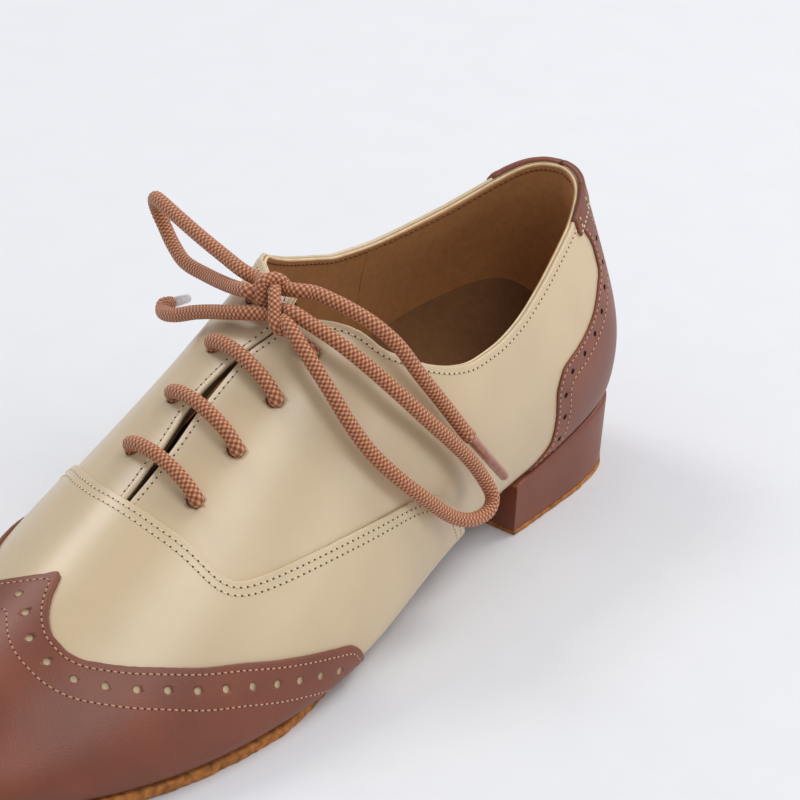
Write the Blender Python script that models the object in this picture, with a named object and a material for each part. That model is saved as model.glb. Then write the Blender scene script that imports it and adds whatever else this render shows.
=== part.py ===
"""Two-tone wing-tip dance shoe for the left foot, as separate pieces.

The shoe is drawn in its own coordinates, in millimetres:
    s  along the shoe, 0 at the back of the heel, growing to the toe
    w  across it, positive to the outer (lateral) side
    z  up from the ground
place() turns them into the model's metres: toe to -Y, lateral side to +X.

All the upper's pieces are layers of one smooth reference surface. Each piece
is that surface clipped to its outline and thickened between two offsets, so
neighbouring layers stay parallel and never touch.
"""
import math

import bmesh
import bpy
import numpy as np
from mathutils import Matrix, Vector
from mathutils.bvhtree import BVHTree

MM = 0.001
ORIGIN_S = 143.3        # the model's origin, along the shoe
ORIGIN_W = 0.29         # and across it
GAP = 0.3               # clearance between touching pieces

# ---------------------------------------------------------------- the last
# Control cage of the reference surface. One column of five points stands at
# each station, on each side, from the feather edge to the shoulder.
STATIONS = (28, 50, 72, 94, 118, 142, 166, 190, 214, 236, 256)
FEATHER_Z = (21.3, 17.8, 15.2, 12.3, 9.0, 5.7, 4.1, 4.0, 4.1, 5.2, 7.0)
LATERAL_W = (
    (27.5, 29.5, 30.0, 32.0, 37.0, 43.0, 46.0, 46.5, 44.0, 38.0, 29.0),
    (30.5, 32.5, 33.0, 35.0, 39.5, 45.2, 47.6, 48.0, 45.4, 39.5, 30.6),
    (32.0, 34.5, 35.7, 38.0, 41.0, 44.5, 46.0, 44.8, 41.2, 35.0, 26.0),
    (27.3, 31.5, 34.5, 36.5, 37.5, 37.5, 36.5, 34.0, 30.0, 24.5, 17.5),
    (17.5, 23.5, 28.0, 29.5, 22.0, 17.5, 16.0, 15.0, 14.0, 12.0, 9.0))
MEDIAL_W = (
    (27.5, 29.0, 27.5, 27.0, 31.0, 38.5, 43.5, 45.0, 42.5, 37.0, 28.5),
    (30.5, 32.2, 31.0, 31.5, 35.5, 42.0, 46.0, 46.8, 44.0, 38.5, 30.0),
    (32.0, 34.0, 35.0, 36.5, 40.5, 45.5, 47.5, 46.8, 43.0, 36.5, 27.5),
    (27.3, 31.0, 34.5, 36.5, 39.5, 41.0, 41.0, 39.0, 35.5, 30.0, 21.5),
    (17.5, 23.0, 27.5, 29.5, 27.0, 24.0, 23.0, 22.0, 20.0, 16.5, 12.0))
LATERAL_Z = (
    FEATHER_Z,
    (28.8, 26.8, 24.6, 21.0, 16.8, 12.5, 10.5, 10.3, 10.2, 10.8, 12.0),
    (45.0, 44.0, 42.0, 39.0, 35.0, 30.0, 27.0, 25.0, 22.5, 20.0, 18.5),
    (66.0, 65.0, 63.0, 60.0, 58.0, 53.0, 46.5, 40.5, 34.5, 29.0, 25.5),
    (88.0, 86.0, 84.0, 84.0, 93.0, 82.0, 69.5, 57.5, 46.8, 37.5, 31.5))
MEDIAL_Z = (
    FEATHER_Z,
    LATERAL_Z[1],
    (45.0, 44.0, 42.5, 40.0, 37.0, 33.0, 30.0, 28.0, 25.0, 22.0, 19.5),
    (66.0, 65.0, 64.0, 62.0, 61.0, 56.5, 50.5, 44.5, 38.0, 32.0, 27.0),
    (88.0, 86.0, 84.5, 88.0, 96.0, 82.5, 70.0, 58.0, 47.8, 38.7, 32.0))
HEEL_CENTRE = ((4.0, 23.0), (1.0, 30.0), (-2.5, 46.0), (1.5, 68.0), (5.5, 94.0))
HEEL_CORNER = ((9.0, 21.5, 22.8), (6.5, 23.5, 29.8), (4.5, 25.0, 46.0),
               (8.5, 20.0, 68.0), (11.5, 12.5, 92.0))
TOE_CENTRE = ((288.5, 10.6), (289.0, 15.5), (282.5, 20.5), (273.0, 26.0), (264.0, 30.3))
TOE_CORNER = ((276.0, 17.5, 9.1), (277.5, 18.3, 14.3), (272.5, 15.0, 19.5),
              (265.0, 10.0, 25.0), (258.0, 5.5, 29.5))
TOE_W = -1.5            # the toe's middle lies a little to the medial side
RIDGE = ((118, -2, 101), (142, -2, 88.5), (166, -3, 75.5), (190, -4, 62.8),
         (214, -4, 51.3), (236, -4, 41.5), (253, -3.5, 34.8))
FIRST_RIDGE = 4         # the station where the ridge starts
MARGIN = 12.0           # lasting margin turned in under the foot
DIAGONAL = 0.7          # margin's share along each axis at the corners
TOE_SPRING = 1.7        # fall of the toe's margin towards the ball

# ----------------------------------------------------- outlines on the last
# The top line's height along each side, from the heel to the facings.
TOP_LATERAL = ((0, 91.5), (8, 90), (18, 86.6), (26, 83.2), (38, 79.4), (49, 75.9), (65, 71.2),
               (76, 69.5), (86, 69.3), (94.5, 71), (105, 75.6), (116, 82.6), (124, 87.8),
               (132, 93), (150, 105))
TOP_MEDIAL = ((0, 91.5), (8, 89.8), (18, 86), (26, 83.2), (38, 80), (49, 78.2), (62, 77),
              (76, 78), (84, 80.6), (97, 85.6), (105, 89.8), (113.5, 94.7), (150, 97))
THROAT_TOP = 132.7      # where the facings part
THROAT_W = 0.8
FACING_SLOPE = (0.66, 0.73)      # how fast the facings' top edge falls back, lateral and medial
GAP_LINE = ((132.7, 2.4), (138, 0.8), (144, -1.6), (150, -2.9), (162, -3.9), (176, -2.5), (190, -1.8),
            (200, -1.8))
GAP_HALF = ((132.7, 0.6), (143, 0.6), (148, 0.9), (162, 1.8), (176, 1.4), (190, 0.8), (200, 0.6))
# Where the vamp's edge crosses the foot, by the angle round the shoe's axis.
SEAM_FRONT = ((-70, 176), (-55, 178), (-41, 182), (-27, 188.5), (-12, 192.5), (3, 193.5), (16, 193.2),
              (27, 192), (39, 190.8), (50, 190.3), (70, 190))
SEAM_LOW = ((86, 6), (94.5, 19.3), (104, 33), (112, 39.5), (120, 42.3), (130, 43.5), (150, 44),
            (186, 42.2), (215, 40))
SEAM_ROUND = 5.0
# The wing cap's edge, by the angle round the shoe's axis.
WING = ((-105, 158), (-96, 162), (-90, 166), (-78, 177), (-70, 186), (-64, 198), (-58, 212), (-50, 224),
        (-39, 226), (-24, 224.5), (-8, 221), (0, 218.5), (7, 225.4), (16, 229.9), (30, 233), (42, 233.3),
        (51, 232), (58, 228.8), (66, 223), (72, 215.4), (77, 207), (81, 196), (85, 186), (88.5, 176),
        (92, 165.7), (96, 156), (105, 150))
# The heel counter's front edge, by height.
COUNTER = ((15, 62), (20, 57), (27, 50.5), (34, 50), (42, 50.5), (49.5, 47), (53, 37), (57.5, 28),
           (63.5, 21.5), (67.5, 18.2), (73, 18.2), (78.5, 20.5), (84.5, 26.2), (95, 30))
COLLAR_DEPTH = 5.0     # height of the band round the back of the collar
AXIS_W = -2.0           # the shoe's long axis, which the angles turn about
AXIS_Z = 20.0
LINING_SEAM = 194.0
PUFF_EDGE = 240.0
GRIP_EDGE = 58.0        # how far forward the heel grip lining reaches
GRIP_LOW = 7.5          # and how far above the feather edge it starts
STIFFENER_EDGE = 46.0
STIFFENER_TOP = 62.0

# ------------------------------------------------------------------ layers
# (outer, inner) offsets from the reference surface
CAP_LAYER = (2.0, 1.0)
VAMP_LAYER = (0.7, -0.4)
QUARTER_LAYER = (-0.7, -1.8)
LINING_LAYER = (-2.1, -3.0)
GRIP_LAYER = (-3.3, -4.1)
TONGUE_LAYER = (-3.6, -4.8)
TONGUE_ROOT = 204.0     # where the tongue is stitched, and its hinge line
TONGUE_HINGE_Z = 52.0
UNDERLAP = 8.0          # how far the quarters reach in under the vamp

# ----------------------------------------------------------- sole and heel
SOLE_TOP = -1.3         # heights from here on count from the feather line
SOLE_UNDER = -4.4       # the underside, which is flat on the ground at the ball
SOLE_PROUD = 1.0
SOLE_WAIST = ((64, 6), (76, 6.5), (92, 6.5), (150, 5), (184, 0))
SHANK_S = (40.0, 140.0)
SHANK_HALF = 6.5
SHANK_Z = (0.0, 1.2)
FILLER_Z = (-0.7, 3.7)
BOARD_Z = (4.0, 5.8)
PAD_Z = (6.1, 9.1)
SOCK_THICK = 0.9
END_CUT = 0.3           # how much of a plate's rounded ends is squared off
BREAST_S = 64.3
# The heel's top outline, (s, w), from the breast to the back on each side
HEEL_LATERAL = ((BREAST_S, 30.1), (48, 29.3), (28, 27.6), (14, 23.2), (6.2, 13.5), (4.3, 0))
HEEL_MEDIAL = ((BREAST_S, -28.4), (48, -28.6), (28, -27.4), (14, -23.2), (6.2, -13.5), (4.3, 0))
HEEL_TAPER = 0.965      # size of the heel's ground end over its top
COVER_THICK = 1.0
TOP_PIECE = 1.5
# (s, w) of the nails and the screw that hold the heel on
NAILS = ((25.0, 8.0), (25.0, -8.0), (50.0, 11.0), (50.0, -11.0))
SCREW = (31.0, 0.0)

# -------------------------------------------------------------------- lace
CORD = 4.2
EYELET_S = ((182, 165.5, 149.5, 134.5), (179, 162, 145.5, 129.5))     # lateral, medial
EYELET_W = (13.3, -12.6)
EYELET_R = 3.1
EYELET_SIDES = 10
KNOT = (134.3, -1.0, 95.6)
KNOT_RADII = (5.2, 5.8, 3.9)
# Routes of the free parts, (s, w, z)
LOOP_LEFT = ((130.8, -9.0, 98.9), (130.6, -15.4, 99.6), (129.0, -23.5, 100.6), (127.5, -33.0, 102.3),
             (125.0, -44.0, 103.9), (122.5, -52.9, 104.8), (120.3, -57.3, 103.6), (118.4, -58.8, 99.6),
             (118.0, -56.3, 94.4), (120.3, -50.8, 91.0), (123.9, -42.9, 89.6), (127.4, -31.8, 91.0),
             (132.8, -18.8, 94.6), (136.0, -9.0, 97.6))
LOOP_RIGHT = ((135.2, 7.4, 96.2), (134.6, 13.8, 94.4), (132.2, 21.8, 90.3), (127.7, 28.6, 83.3),
              (122.5, 35.0, 75.0), (116.5, 38.9, 66.5), (109.1, 41.7, 57.2), (101.6, 42.9, 47.8),
              (95.9, 43.6, 38.9), (94.4, 45.1, 33.2), (98.0, 46.1, 30.4), (105.3, 46.0, 31.3),
              (112.6, 44.8, 35.6), (123.5, 43.2, 46.6), (130.6, 40.1, 55.0), (135.9, 35.5, 63.5),
              (138.9, 30.5, 72.2), (140.2, 25.0, 80.4), (140.6, 17.2, 88.7), (139.6, 10.4, 93.0))
END_LEFT = ((140.0, -6.6, 92.8), (139.8, -12.1, 91.2), (139.2, -18.2, 89.0), (138.8, -25.7, 86.0),
            (138.3, -32.7, 82.5), (137.1, -37.9, 80.3), (134.2, -42.4, 78.4))
END_RIGHT = ((129.4, 4.8, 99.6), (127.4, 8.4, 99.4), (126.0, 12.9, 98.4), (123.6, 18.7, 96.0),
             (121.0, 24.7, 92.5), (117.1, 29.9, 86.1), (112.9, 34.2, 76.7), (108.0, 37.3, 67.8))
AGLET_LEFT = ((127.0, -46.3, 76.6), (115.6, -50.3, 72.0))
AGLET_RIGHT = ((99.0, 40.72, 53.1), (84.0, 41.3, 33.6))
AGLET_R = 1.6

# --------------------------------------------------------------- materials
# base colour, roughness, metallic
LOOKS = {
    "tan_leather": ((0.58, 0.45, 0.29), 0.38, 0.0),
    "brown_leather": ((0.20, 0.055, 0.032), 0.42, 0.0),
    "lining_leather": ((0.43, 0.20, 0.065), 0.8, 0.0),
    "suede": ((0.40, 0.15, 0.03), 0.95, 0.0),
    "board": ((0.30, 0.22, 0.14), 0.9, 0.0),
    "cork": ((0.35, 0.20, 0.10), 0.95, 0.0),
    "foam": ((0.75, 0.70, 0.55), 0.9, 0.0),
    "stiffener": ((0.60, 0.56, 0.48), 0.9, 0.0),
    "heel_wood": ((0.45, 0.28, 0.14), 0.7, 0.0),
    "steel": ((0.55, 0.55, 0.57), 0.35, 1.0),
    "lace": ((0.50, 0.19, 0.075), 0.75, 0.0),
    "aglet": ((0.60, 0.30, 0.18), 0.2, 0.0),
}


# ================================================================== helpers
def place(points):
    """Shoe coordinates in mm to the model's metres."""
    p = np.asarray(points, float).reshape(-1, 3)
    return np.column_stack([p[:, 1] - ORIGIN_W, ORIGIN_S - p[:, 0], p[:, 2]]) * MM


def through(points):
    """A smooth function y(x) through the points, without overshoot, level beyond both ends."""
    x = np.array([p[0] for p in points], float)
    y = np.array([p[1] for p in points], float)
    rise = np.diff(y) / np.diff(x)
    same = rise[:-1] * rise[1:] > 0
    mean = 2 * rise[:-1] * rise[1:] / np.where(same, rise[:-1] + rise[1:], 1.0)
    slope = np.concatenate([rise[:1], np.where(same, mean, 0.0), rise[-1:]])

    def value(q):
        q = np.clip(q, x[0], x[-1])
        i = np.clip(np.searchsorted(x, q) - 1, 0, len(x) - 2)
        h = x[i + 1] - x[i]
        t = (q - x[i]) / h
        ends = (1 + 2 * t) * (1 - t) ** 2 * y[i] + t * t * (3 - 2 * t) * y[i + 1]
        return ends + t * (1 - t) * h * ((1 - t) * slope[i] - t * slope[i + 1])

    return value


def smooth_max(a, b, radius):
    """The larger of two fields, with a rounded change from one to the other."""
    return 0.5 * (a + b + np.sqrt((a - b) ** 2 + radius ** 2))


def smooth_route(route, step):
    """Points about step apart on a smooth curve through the route's points."""
    p = np.array(route, float)
    ends = np.vstack([2 * p[0] - p[1], p, 2 * p[-1] - p[-2]])
    fine = [p[0]]
    for a, b, c, d in zip(ends, ends[1:], ends[2:], ends[3:]):
        for t in np.linspace(0, 1, 13)[1:]:
            fine.append(0.5 * (2 * b + (c - a) * t + (2 * a - 5 * b + 4 * c - d) * t ** 2
                               + (3 * b - a - 3 * c + d) * t ** 3))
    fine = np.array(fine)
    along = np.concatenate([[0], np.cumsum(np.linalg.norm(np.diff(fine, axis=0), axis=1))])
    at = np.linspace(0, along[-1], max(3, int(round(along[-1] / step)) + 1))
    return np.column_stack([np.interp(at, along, fine[:, k]) for k in range(3)])


def material(look):
    """The named material, made on first use."""
    found = bpy.data.materials.get(look)
    if found:
        return found
    colour, roughness, metallic = LOOKS[look]
    made = bpy.data.materials.new(look)
    made.use_nodes = True
    shader = made.node_tree.nodes["Principled BSDF"]
    shader.inputs["Base Color"].default_value = (*colour, 1.0)
    shader.inputs["Roughness"].default_value = roughness
    shader.inputs["Metallic"].default_value = metallic
    return made


def add_mesh(name, points, faces, look, smooth_angle=None):
    """One piece from its points in shoe coordinates and its faces."""
    mesh = bpy.data.meshes.new(name)
    mesh.from_pydata(place(points).tolist(), [], [list(map(int, f)) for f in faces])
    own = material(look).copy()
    own.name = name + "_" + look
    mesh.materials.append(own)
    if smooth_angle:
        mesh.shade_smooth()
        mesh.set_sharp_from_angle(angle=math.radians(smooth_angle))
    piece = bpy.data.objects.new(name, mesh)
    bpy.context.collection.objects.link(piece)
    return piece


# ==================================================== the reference surface
def cage_columns():
    """Columns of cage points once round the shoe, heel, lateral, toe, medial."""
    columns = []

    def column(points, inward):
        columns.append([tuple(np.array(points[0]) + np.array(inward))] + list(points))

    def side(sign, width, height):
        for i, s in enumerate(STATIONS):
            yield [(s, sign * width[k][i], height[k][i]) for k in range(5)]

    cut = MARGIN * DIAGONAL
    column([(s, 0.0, z) for s, z in HEEL_CENTRE], (MARGIN, 0, 0))
    column(HEEL_CORNER, (cut, -cut, 0))
    for points in side(1, LATERAL_W, LATERAL_Z):
        column(points, (0, -MARGIN, 0))
    column(TOE_CORNER, (-cut, -cut, -TOE_SPRING * DIAGONAL))
    column([(s, TOE_W, z) for s, z in TOE_CENTRE], (-MARGIN, 0, -TOE_SPRING))
    column([(s, TOE_W - w, z) for s, w, z in TOE_CORNER], (-cut, cut, -TOE_SPRING * DIAGONAL))
    for points in reversed(list(side(-1, MEDIAL_W, MEDIAL_Z))):
        column(points, (0, MARGIN, 0))
    column([(s, -w, z) for s, w, z in HEEL_CORNER], (cut, cut, 0))
    return columns


def cage():
    """Points and four-sided faces of the control cage."""
    columns = cage_columns()
    count, rows, last = len(columns), len(columns[0]), len(STATIONS)
    points = [p for column in columns for p in column]
    faces = []
    for j in range(count):
        for i in range(rows - 1):
            a, b = j * rows + i, ((j + 1) % count) * rows + i
            faces.append((a, a + 1, b + 1, b))
    top = rows - 1
    lateral = [(2 + i) * rows + top for i in range(last)]
    toe = [(2 + last + i) * rows + top for i in range(3)]
    medial = [(2 * last + 4 - i) * rows + top for i in range(last)]
    ridge = {FIRST_RIDGE + i: len(points) + i for i in range(len(RIDGE))}
    points += [tuple(map(float, p)) for p in RIDGE]
    for i in range(FIRST_RIDGE, last - 1):
        faces.append((lateral[i], ridge[i], ridge[i + 1], lateral[i + 1]))
        faces.append((ridge[i], medial[i], medial[i + 1], ridge[i + 1]))
    faces.append((lateral[-1], ridge[last - 1], toe[1], toe[0]))
    faces.append((ridge[last - 1], medial[-1], toe[2], toe[1]))
    return points, faces


def reference_surface(levels):
    """The cage's smooth surface as points, normals and triangles."""
    points, faces = cage()
    mesh = bpy.data.meshes.new("cage")
    mesh.from_pydata(points, [], faces)
    guide = bpy.data.objects.new("cage", mesh)
    bpy.context.collection.objects.link(guide)
    smooth = guide.modifiers.new("smooth", "SUBSURF")
    smooth.levels = smooth.render_levels = levels
    smooth.boundary_smooth = "ALL"
    done = guide.evaluated_get(bpy.context.evaluated_depsgraph_get()).to_mesh()
    P = np.array([v.co[:] for v in done.vertices])
    quads = np.array([f.vertices[:] for f in done.polygons])
    bpy.data.objects.remove(guide)
    T = np.vstack([quads[:, (0, 1, 2)], quads[:, (0, 2, 3)]])
    across = np.cross(P[quads[:, 2]] - P[quads[:, 0]], P[quads[:, 3]] - P[quads[:, 1]])
    N = np.zeros_like(P)
    for corner in range(4):
        np.add.at(N, quads[:, corner], across)
    return P, N / np.linalg.norm(N, axis=1)[:, None], T


def move_origin(piece, at):
    """Put a piece's origin at a point in shoe coordinates, leaving its shape in place."""
    origin = Vector(place(at)[0])
    piece.data.transform(Matrix.Translation(-origin))
    piece.location = origin


def clip(skin, field, snap=0.08):
    """The part of the skin where the field is positive."""
    P, N, T = skin
    value = field(P)
    value[np.abs(value) < snap] = 0.0
    points, normals, made, kept = list(P), list(N), {}, []

    def crossing(a, b):
        key = (min(a, b), max(a, b))
        if key not in made:
            t = value[key[0]] / (value[key[0]] - value[key[1]])
            made[key] = len(points)
            points.append(P[key[0]] + t * (P[key[1]] - P[key[0]]))
            normals.append(N[key[0]] + t * (N[key[1]] - N[key[0]]))
        return made[key]

    for tri in T:
        if value[tri].max() <= 0:
            continue
        outline = []
        for a, b in zip(tri, np.roll(tri, -1)):
            if value[a] >= 0:
                outline.append(a)
            if value[a] * value[b] < 0:
                outline.append(crossing(a, b))
        for i in range(1, len(outline) - 1):
            kept.append((outline[0], outline[i], outline[i + 1]))
    return np.array(points), np.array(normals), np.array(kept)


def largest_patch(skin):
    """The skin's largest connected patch, with unused points dropped."""
    P, N, T = skin
    group = np.arange(len(P))

    def root(i):
        while group[i] != i:
            group[i] = group[group[i]]
            i = group[i]
        return i

    for a, b, c in T:
        group[root(b)] = root(a)
        group[root(c)] = root(a)
    owner = np.array([root(t[0]) for t in T])
    names, sizes = np.unique(owner, return_counts=True)
    T = T[owner == names[sizes.argmax()]]
    used, compact = np.unique(T, return_inverse=True)
    return P[used], N[used], compact.reshape(-1, 3)


def shell(name, skin, layer, look, sag=None):
    """A closed piece between two offsets from the skin."""
    P, N, T = largest_patch(skin)
    drop = sag(P)[:, None] if sag else 0.0
    outer, inner = P + N * (layer[0] - drop), P + N * (layer[1] - drop)
    edges = {(a, b) for t in T for a, b in zip(t, np.roll(t, -1))}
    rim = [(a, b) for a, b in edges if (b, a) not in edges]
    n = len(P)
    faces = [tuple(t) for t in T] + [tuple(t[::-1] + n) for t in T]
    faces += [(b, a, a + n, b + n) for a, b in sorted(rim)]
    return add_mesh(name, np.vstack([outer, inner]), faces, look, 40)


# ------------------------------------------------- fields over the surface
def angle_round(P):
    """Degrees round the shoe's long axis, 0 on top, positive to the lateral side."""
    return np.degrees(np.arctan2(P[:, 1] - AXIS_W, P[:, 2] - AXIS_Z))


def below_top(P):
    """Positive where the upper is, below the top line or ahead of the throat."""
    lateral = P[:, 1] > 0
    height = np.where(lateral, through(TOP_LATERAL)(P[:, 0]), through(TOP_MEDIAL)(P[:, 0]))
    slope = np.where(P[:, 1] > THROAT_W, *FACING_SLOPE)
    ahead = P[:, 0] - THROAT_TOP + slope * np.abs(P[:, 1] - THROAT_W)
    return np.maximum(height - P[:, 2], ahead)


def off_gap(P):
    """Distance from the slot between the facings; lateral is positive."""
    return P[:, 1] - through(GAP_LINE)(P[:, 0])


def beside_gap(P, sign):
    """Positive on one side's facing, clear of the slot."""
    clear = sign * off_gap(P) - through(GAP_HALF)(P[:, 0])
    return np.where(P[:, 0] > THROAT_TOP - 25, clear, sign * P[:, 1] - GAP / 2)


def past_seam(P):
    """Positive on the vamp, ahead of and below its edge."""
    front = P[:, 0] - through(SEAM_FRONT)(angle_round(P))
    low = through(SEAM_LOW)(P[:, 0]) - P[:, 2]
    return smooth_max(front, low, SEAM_ROUND)


def past_wing(P):
    """Positive on the wing cap, scaled to about mm across its swept edges."""
    return P[:, 0] - through(WING)(angle_round(P))


def behind_counter(P):
    """Positive on the heel counter."""
    return through(COUNTER)(P[:, 2]) - P[:, 0]


def above_feather(P, rise):
    """Height over the feather line, less a rise."""
    return P[:, 2] - feather_height(P[:, 0]) - rise


def feather_loop():
    """The feather line's smooth loop: heel, lateral side, toe, medial side."""
    ring = np.array([column[1] for column in cage_columns()])
    return (np.roll(ring, 1, axis=0) + 4 * ring + np.roll(ring, -1, axis=0)) / 6


def feather_height(s):
    """The feather line's height at s."""
    lateral = feather_loop()[:len(STATIONS) + 4]
    return through(lateral[:, (0, 2)])(s)


def feather_width(s, sign, inset):
    """The feather loop's edge at s on one side, moved in by inset."""
    loop = feather_loop()
    fine = smooth_route(np.vstack([loop[-3:], loop, loop[:3]]), 1.0)
    along = np.gradient(fine, axis=0)
    inward = np.column_stack([along[:, 1], -along[:, 0]])
    moved = fine[:, :2] + inward * inset / np.linalg.norm(inward, axis=1)[:, None]
    middle = TOE_W * fine[:, 0] / loop[:, 0].max()
    moved = moved[sign * (fine[:, 1] - middle) > 0]
    order = np.argsort(moved[:, 0])
    return np.interp(s, moved[order, 0], moved[order, 1])


# ================================================================== pieces
def plate(name, span, inset, low, high, look, stations=26, waist=((0, 0), (300, 0))):
    """A bent plate inside the feather loop; low and high are heights by s."""
    reach = feather_loop()[:, 0]
    back = max(span[0], reach.min() + inset + END_CUT)
    front = min(span[1], reach.max() - inset - END_CUT)
    share = 0.5 - 0.5 * np.cos(np.linspace(0, math.pi, stations))
    s = back + (front - back) * share
    lateral = feather_width(s, 1, inset) - through(waist)(s)
    medial = feather_width(s, -1, inset) + through(waist)(s)
    rings = []
    for i, at in enumerate(s):
        base = feather_height(at)
        bottom, top = base + low(at), base + high(at)
        rings.append([(at, medial[i], bottom), (at, lateral[i], bottom),
                      (at, lateral[i], top), (at, medial[i], top)])
    return loft(name, rings, look)


def loft(name, rings, look, smooth_angle=35):
    """A closed body through equal rings of points, capped at both ends."""
    n = len(rings[0])
    faces = [tuple(range(n)), tuple(range(n * (len(rings) - 1), n * len(rings)))[::-1]]
    for i in range(len(rings) - 1):
        for k in range(n):
            a, b = i * n + k, i * n + (k + 1) % n
            faces.append((a, a + n, b + n, b))
    piece = add_mesh(name, [p for ring in rings for p in ring], faces, look, smooth_angle)
    shape = bmesh.new()
    shape.from_mesh(piece.data)
    if shape.calc_volume(signed=True) < 0:
        bmesh.ops.reverse_faces(shape, faces=shape.faces)
        shape.to_mesh(piece.data)
    shape.free()
    return piece


def heel_outline(inset, scale=1.0, count=22):
    """The heel's U-shaped outline, from the lateral breast corner round the back."""
    route = HEEL_LATERAL + HEEL_MEDIAL[-2::-1]
    curve = smooth_route([(s, w, 0) for s, w in route], 1.0)[:, :2]
    along = np.gradient(curve, axis=0)
    inward = np.column_stack([-along[:, 1], along[:, 0]])
    inward /= np.linalg.norm(inward, axis=1)[:, None]
    inward *= -np.sign((inward[0] * (0, 1)).sum())
    moved = curve + inward * inset
    moved[:, 0] = np.minimum(moved[:, 0], BREAST_S - inset)
    pick = moved[np.linspace(0, len(moved) - 1, count).round().astype(int)]
    centre = np.array([BREAST_S, 0])
    return centre + (pick - centre) * scale


def heel_body(name, inset, look, extra=()):
    """A solid heel between the ground end and the feather line, or longer at both ends."""
    low = TOP_PIECE + GAP
    rings = []
    for share, longer in [(0.0, -x) for x in extra] + [(0.0, 0.0), (1.0, 0.0)] + [(1.0, x) for x in extra]:
        outline = heel_outline(inset, HEEL_TAPER + (1 - HEEL_TAPER) * share)
        rings.append([(s, w, longer + (feather_height(s) - GAP if share else low)) for s, w in outline])
    return loft(name, rings, look)


def cutter(piece, shape):
    """Cut a shape out of a piece, leaving the shape as a hidden guide."""
    cut = piece.modifiers.new("cut", "BOOLEAN")
    cut.operation = "DIFFERENCE"
    cut.object = shape
    shape.hide_render = True
    shape.display_type = "WIRE"


def lathe(name, at, profile, look, sides=12):
    """An upright turned piece from (radius, z) points, top to bottom."""
    rings = []
    turn = [2 * math.pi * k / sides for k in range(sides)]
    for radius, z in profile:
        rings.append([(at[0] + radius * math.cos(a), at[1] + radius * math.sin(a), z) for a in turn])
    return loft(name, rings, look, 50)


def fastener_profile(at, shaft, head, length, clear):
    """A countersunk fastener's outline, from its head in the board down."""
    top = float(feather_height(at[0])) + BOARD_Z[1]
    up = 1.0 if clear else -GAP
    flat = top - 1.1 - clear
    return [(head + clear, top + up), (head + clear, flat), (shaft + clear, flat),
            (shaft + clear, top - length - clear)]


def build_heel():
    """Heel block with its leather cover, the suede top piece, and the fixings."""
    block = heel_body("heel_block", COVER_THICK + GAP, "heel_wood")
    cover = heel_body("heel_cover", 0.0, "brown_leather")
    cutter(cover, heel_body("cover_cutter", COVER_THICK, "heel_wood", extra=(5.0,)))
    sole = [[(s, w, z) for s, w in heel_outline(-0.3, HEEL_TAPER)] for z in (0.0, TOP_PIECE)]
    loft("heel_top_piece", sole, "suede")
    return block


def build_fixings(targets):
    """The screw and nails, each through a clearance hole in every target."""
    spots = [("heel_nail_%d" % (i + 1), at, 0.9, 2.0, 20.0) for i, at in enumerate(NAILS)]
    spots.append(("heel_screw", SCREW, 2.2, 4.0, 22.0))
    for name, at, shaft, head, length in spots:
        lathe(name, at, fastener_profile(at, shaft, head, length, 0.0), "steel")
        hole = lathe(name + "_cutter", at, fastener_profile(at, shaft, head, length, GAP), "steel")
        for target in targets:
            cutter(target, hole)


def build_sole():
    """The outsole, board, shank, filler, heel pad and sock lining."""
    plate("outsole", (BREAST_S + 0.6, 300), -SOLE_PROUD,
          lambda s: max(SOLE_UNDER, -feather_height(s)), lambda s: SOLE_TOP, "suede", 34, SOLE_WAIST)
    board = plate("insole_board", (0, 300), 8.5,
                  lambda s: BOARD_Z[0], lambda s: BOARD_Z[1], "board")
    clear = SHANK_Z[1] + GAP
    over_shank = through(((0, clear), (SHANK_S[1] + 12, clear), (SHANK_S[1] + 25, FILLER_Z[0]),
                          (290, FILLER_Z[0])))
    plate("bottom_filler", (70, 262), MARGIN + 3.0, over_shank, lambda s: FILLER_Z[1], "cork", 20)
    build_shank()
    thin = through(((8, PAD_Z[1]), (60, PAD_Z[1]), (88, PAD_Z[0] + 1.0), (95, PAD_Z[0] + 0.8)))
    plate("heel_pad", (0, 90), 10.0, lambda s: PAD_Z[0], thin, "foam", 14)
    rise = through(((8, PAD_Z[1]), (60, PAD_Z[1]), (90, PAD_Z[0] + 1.2), (108, PAD_Z[0]), (290, PAD_Z[0])))
    plate("sock_lining", (0, 300), 8.5,
          lambda s: rise(s) + GAP, lambda s: rise(s) + GAP + SOCK_THICK, "lining_leather", 30)
    return board


def build_shank():
    """The spring steel strip under the arch."""
    half, rings = SHANK_HALF, []
    for s in np.linspace(*SHANK_S, 12):
        base = float(feather_height(s))
        low, high = base + SHANK_Z[0], base + SHANK_Z[1]
        rings.append([(s, -half, low), (s, half, low), (s, half, high), (s, -half, high)])
    loft("steel_shank", rings, "steel")


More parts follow.
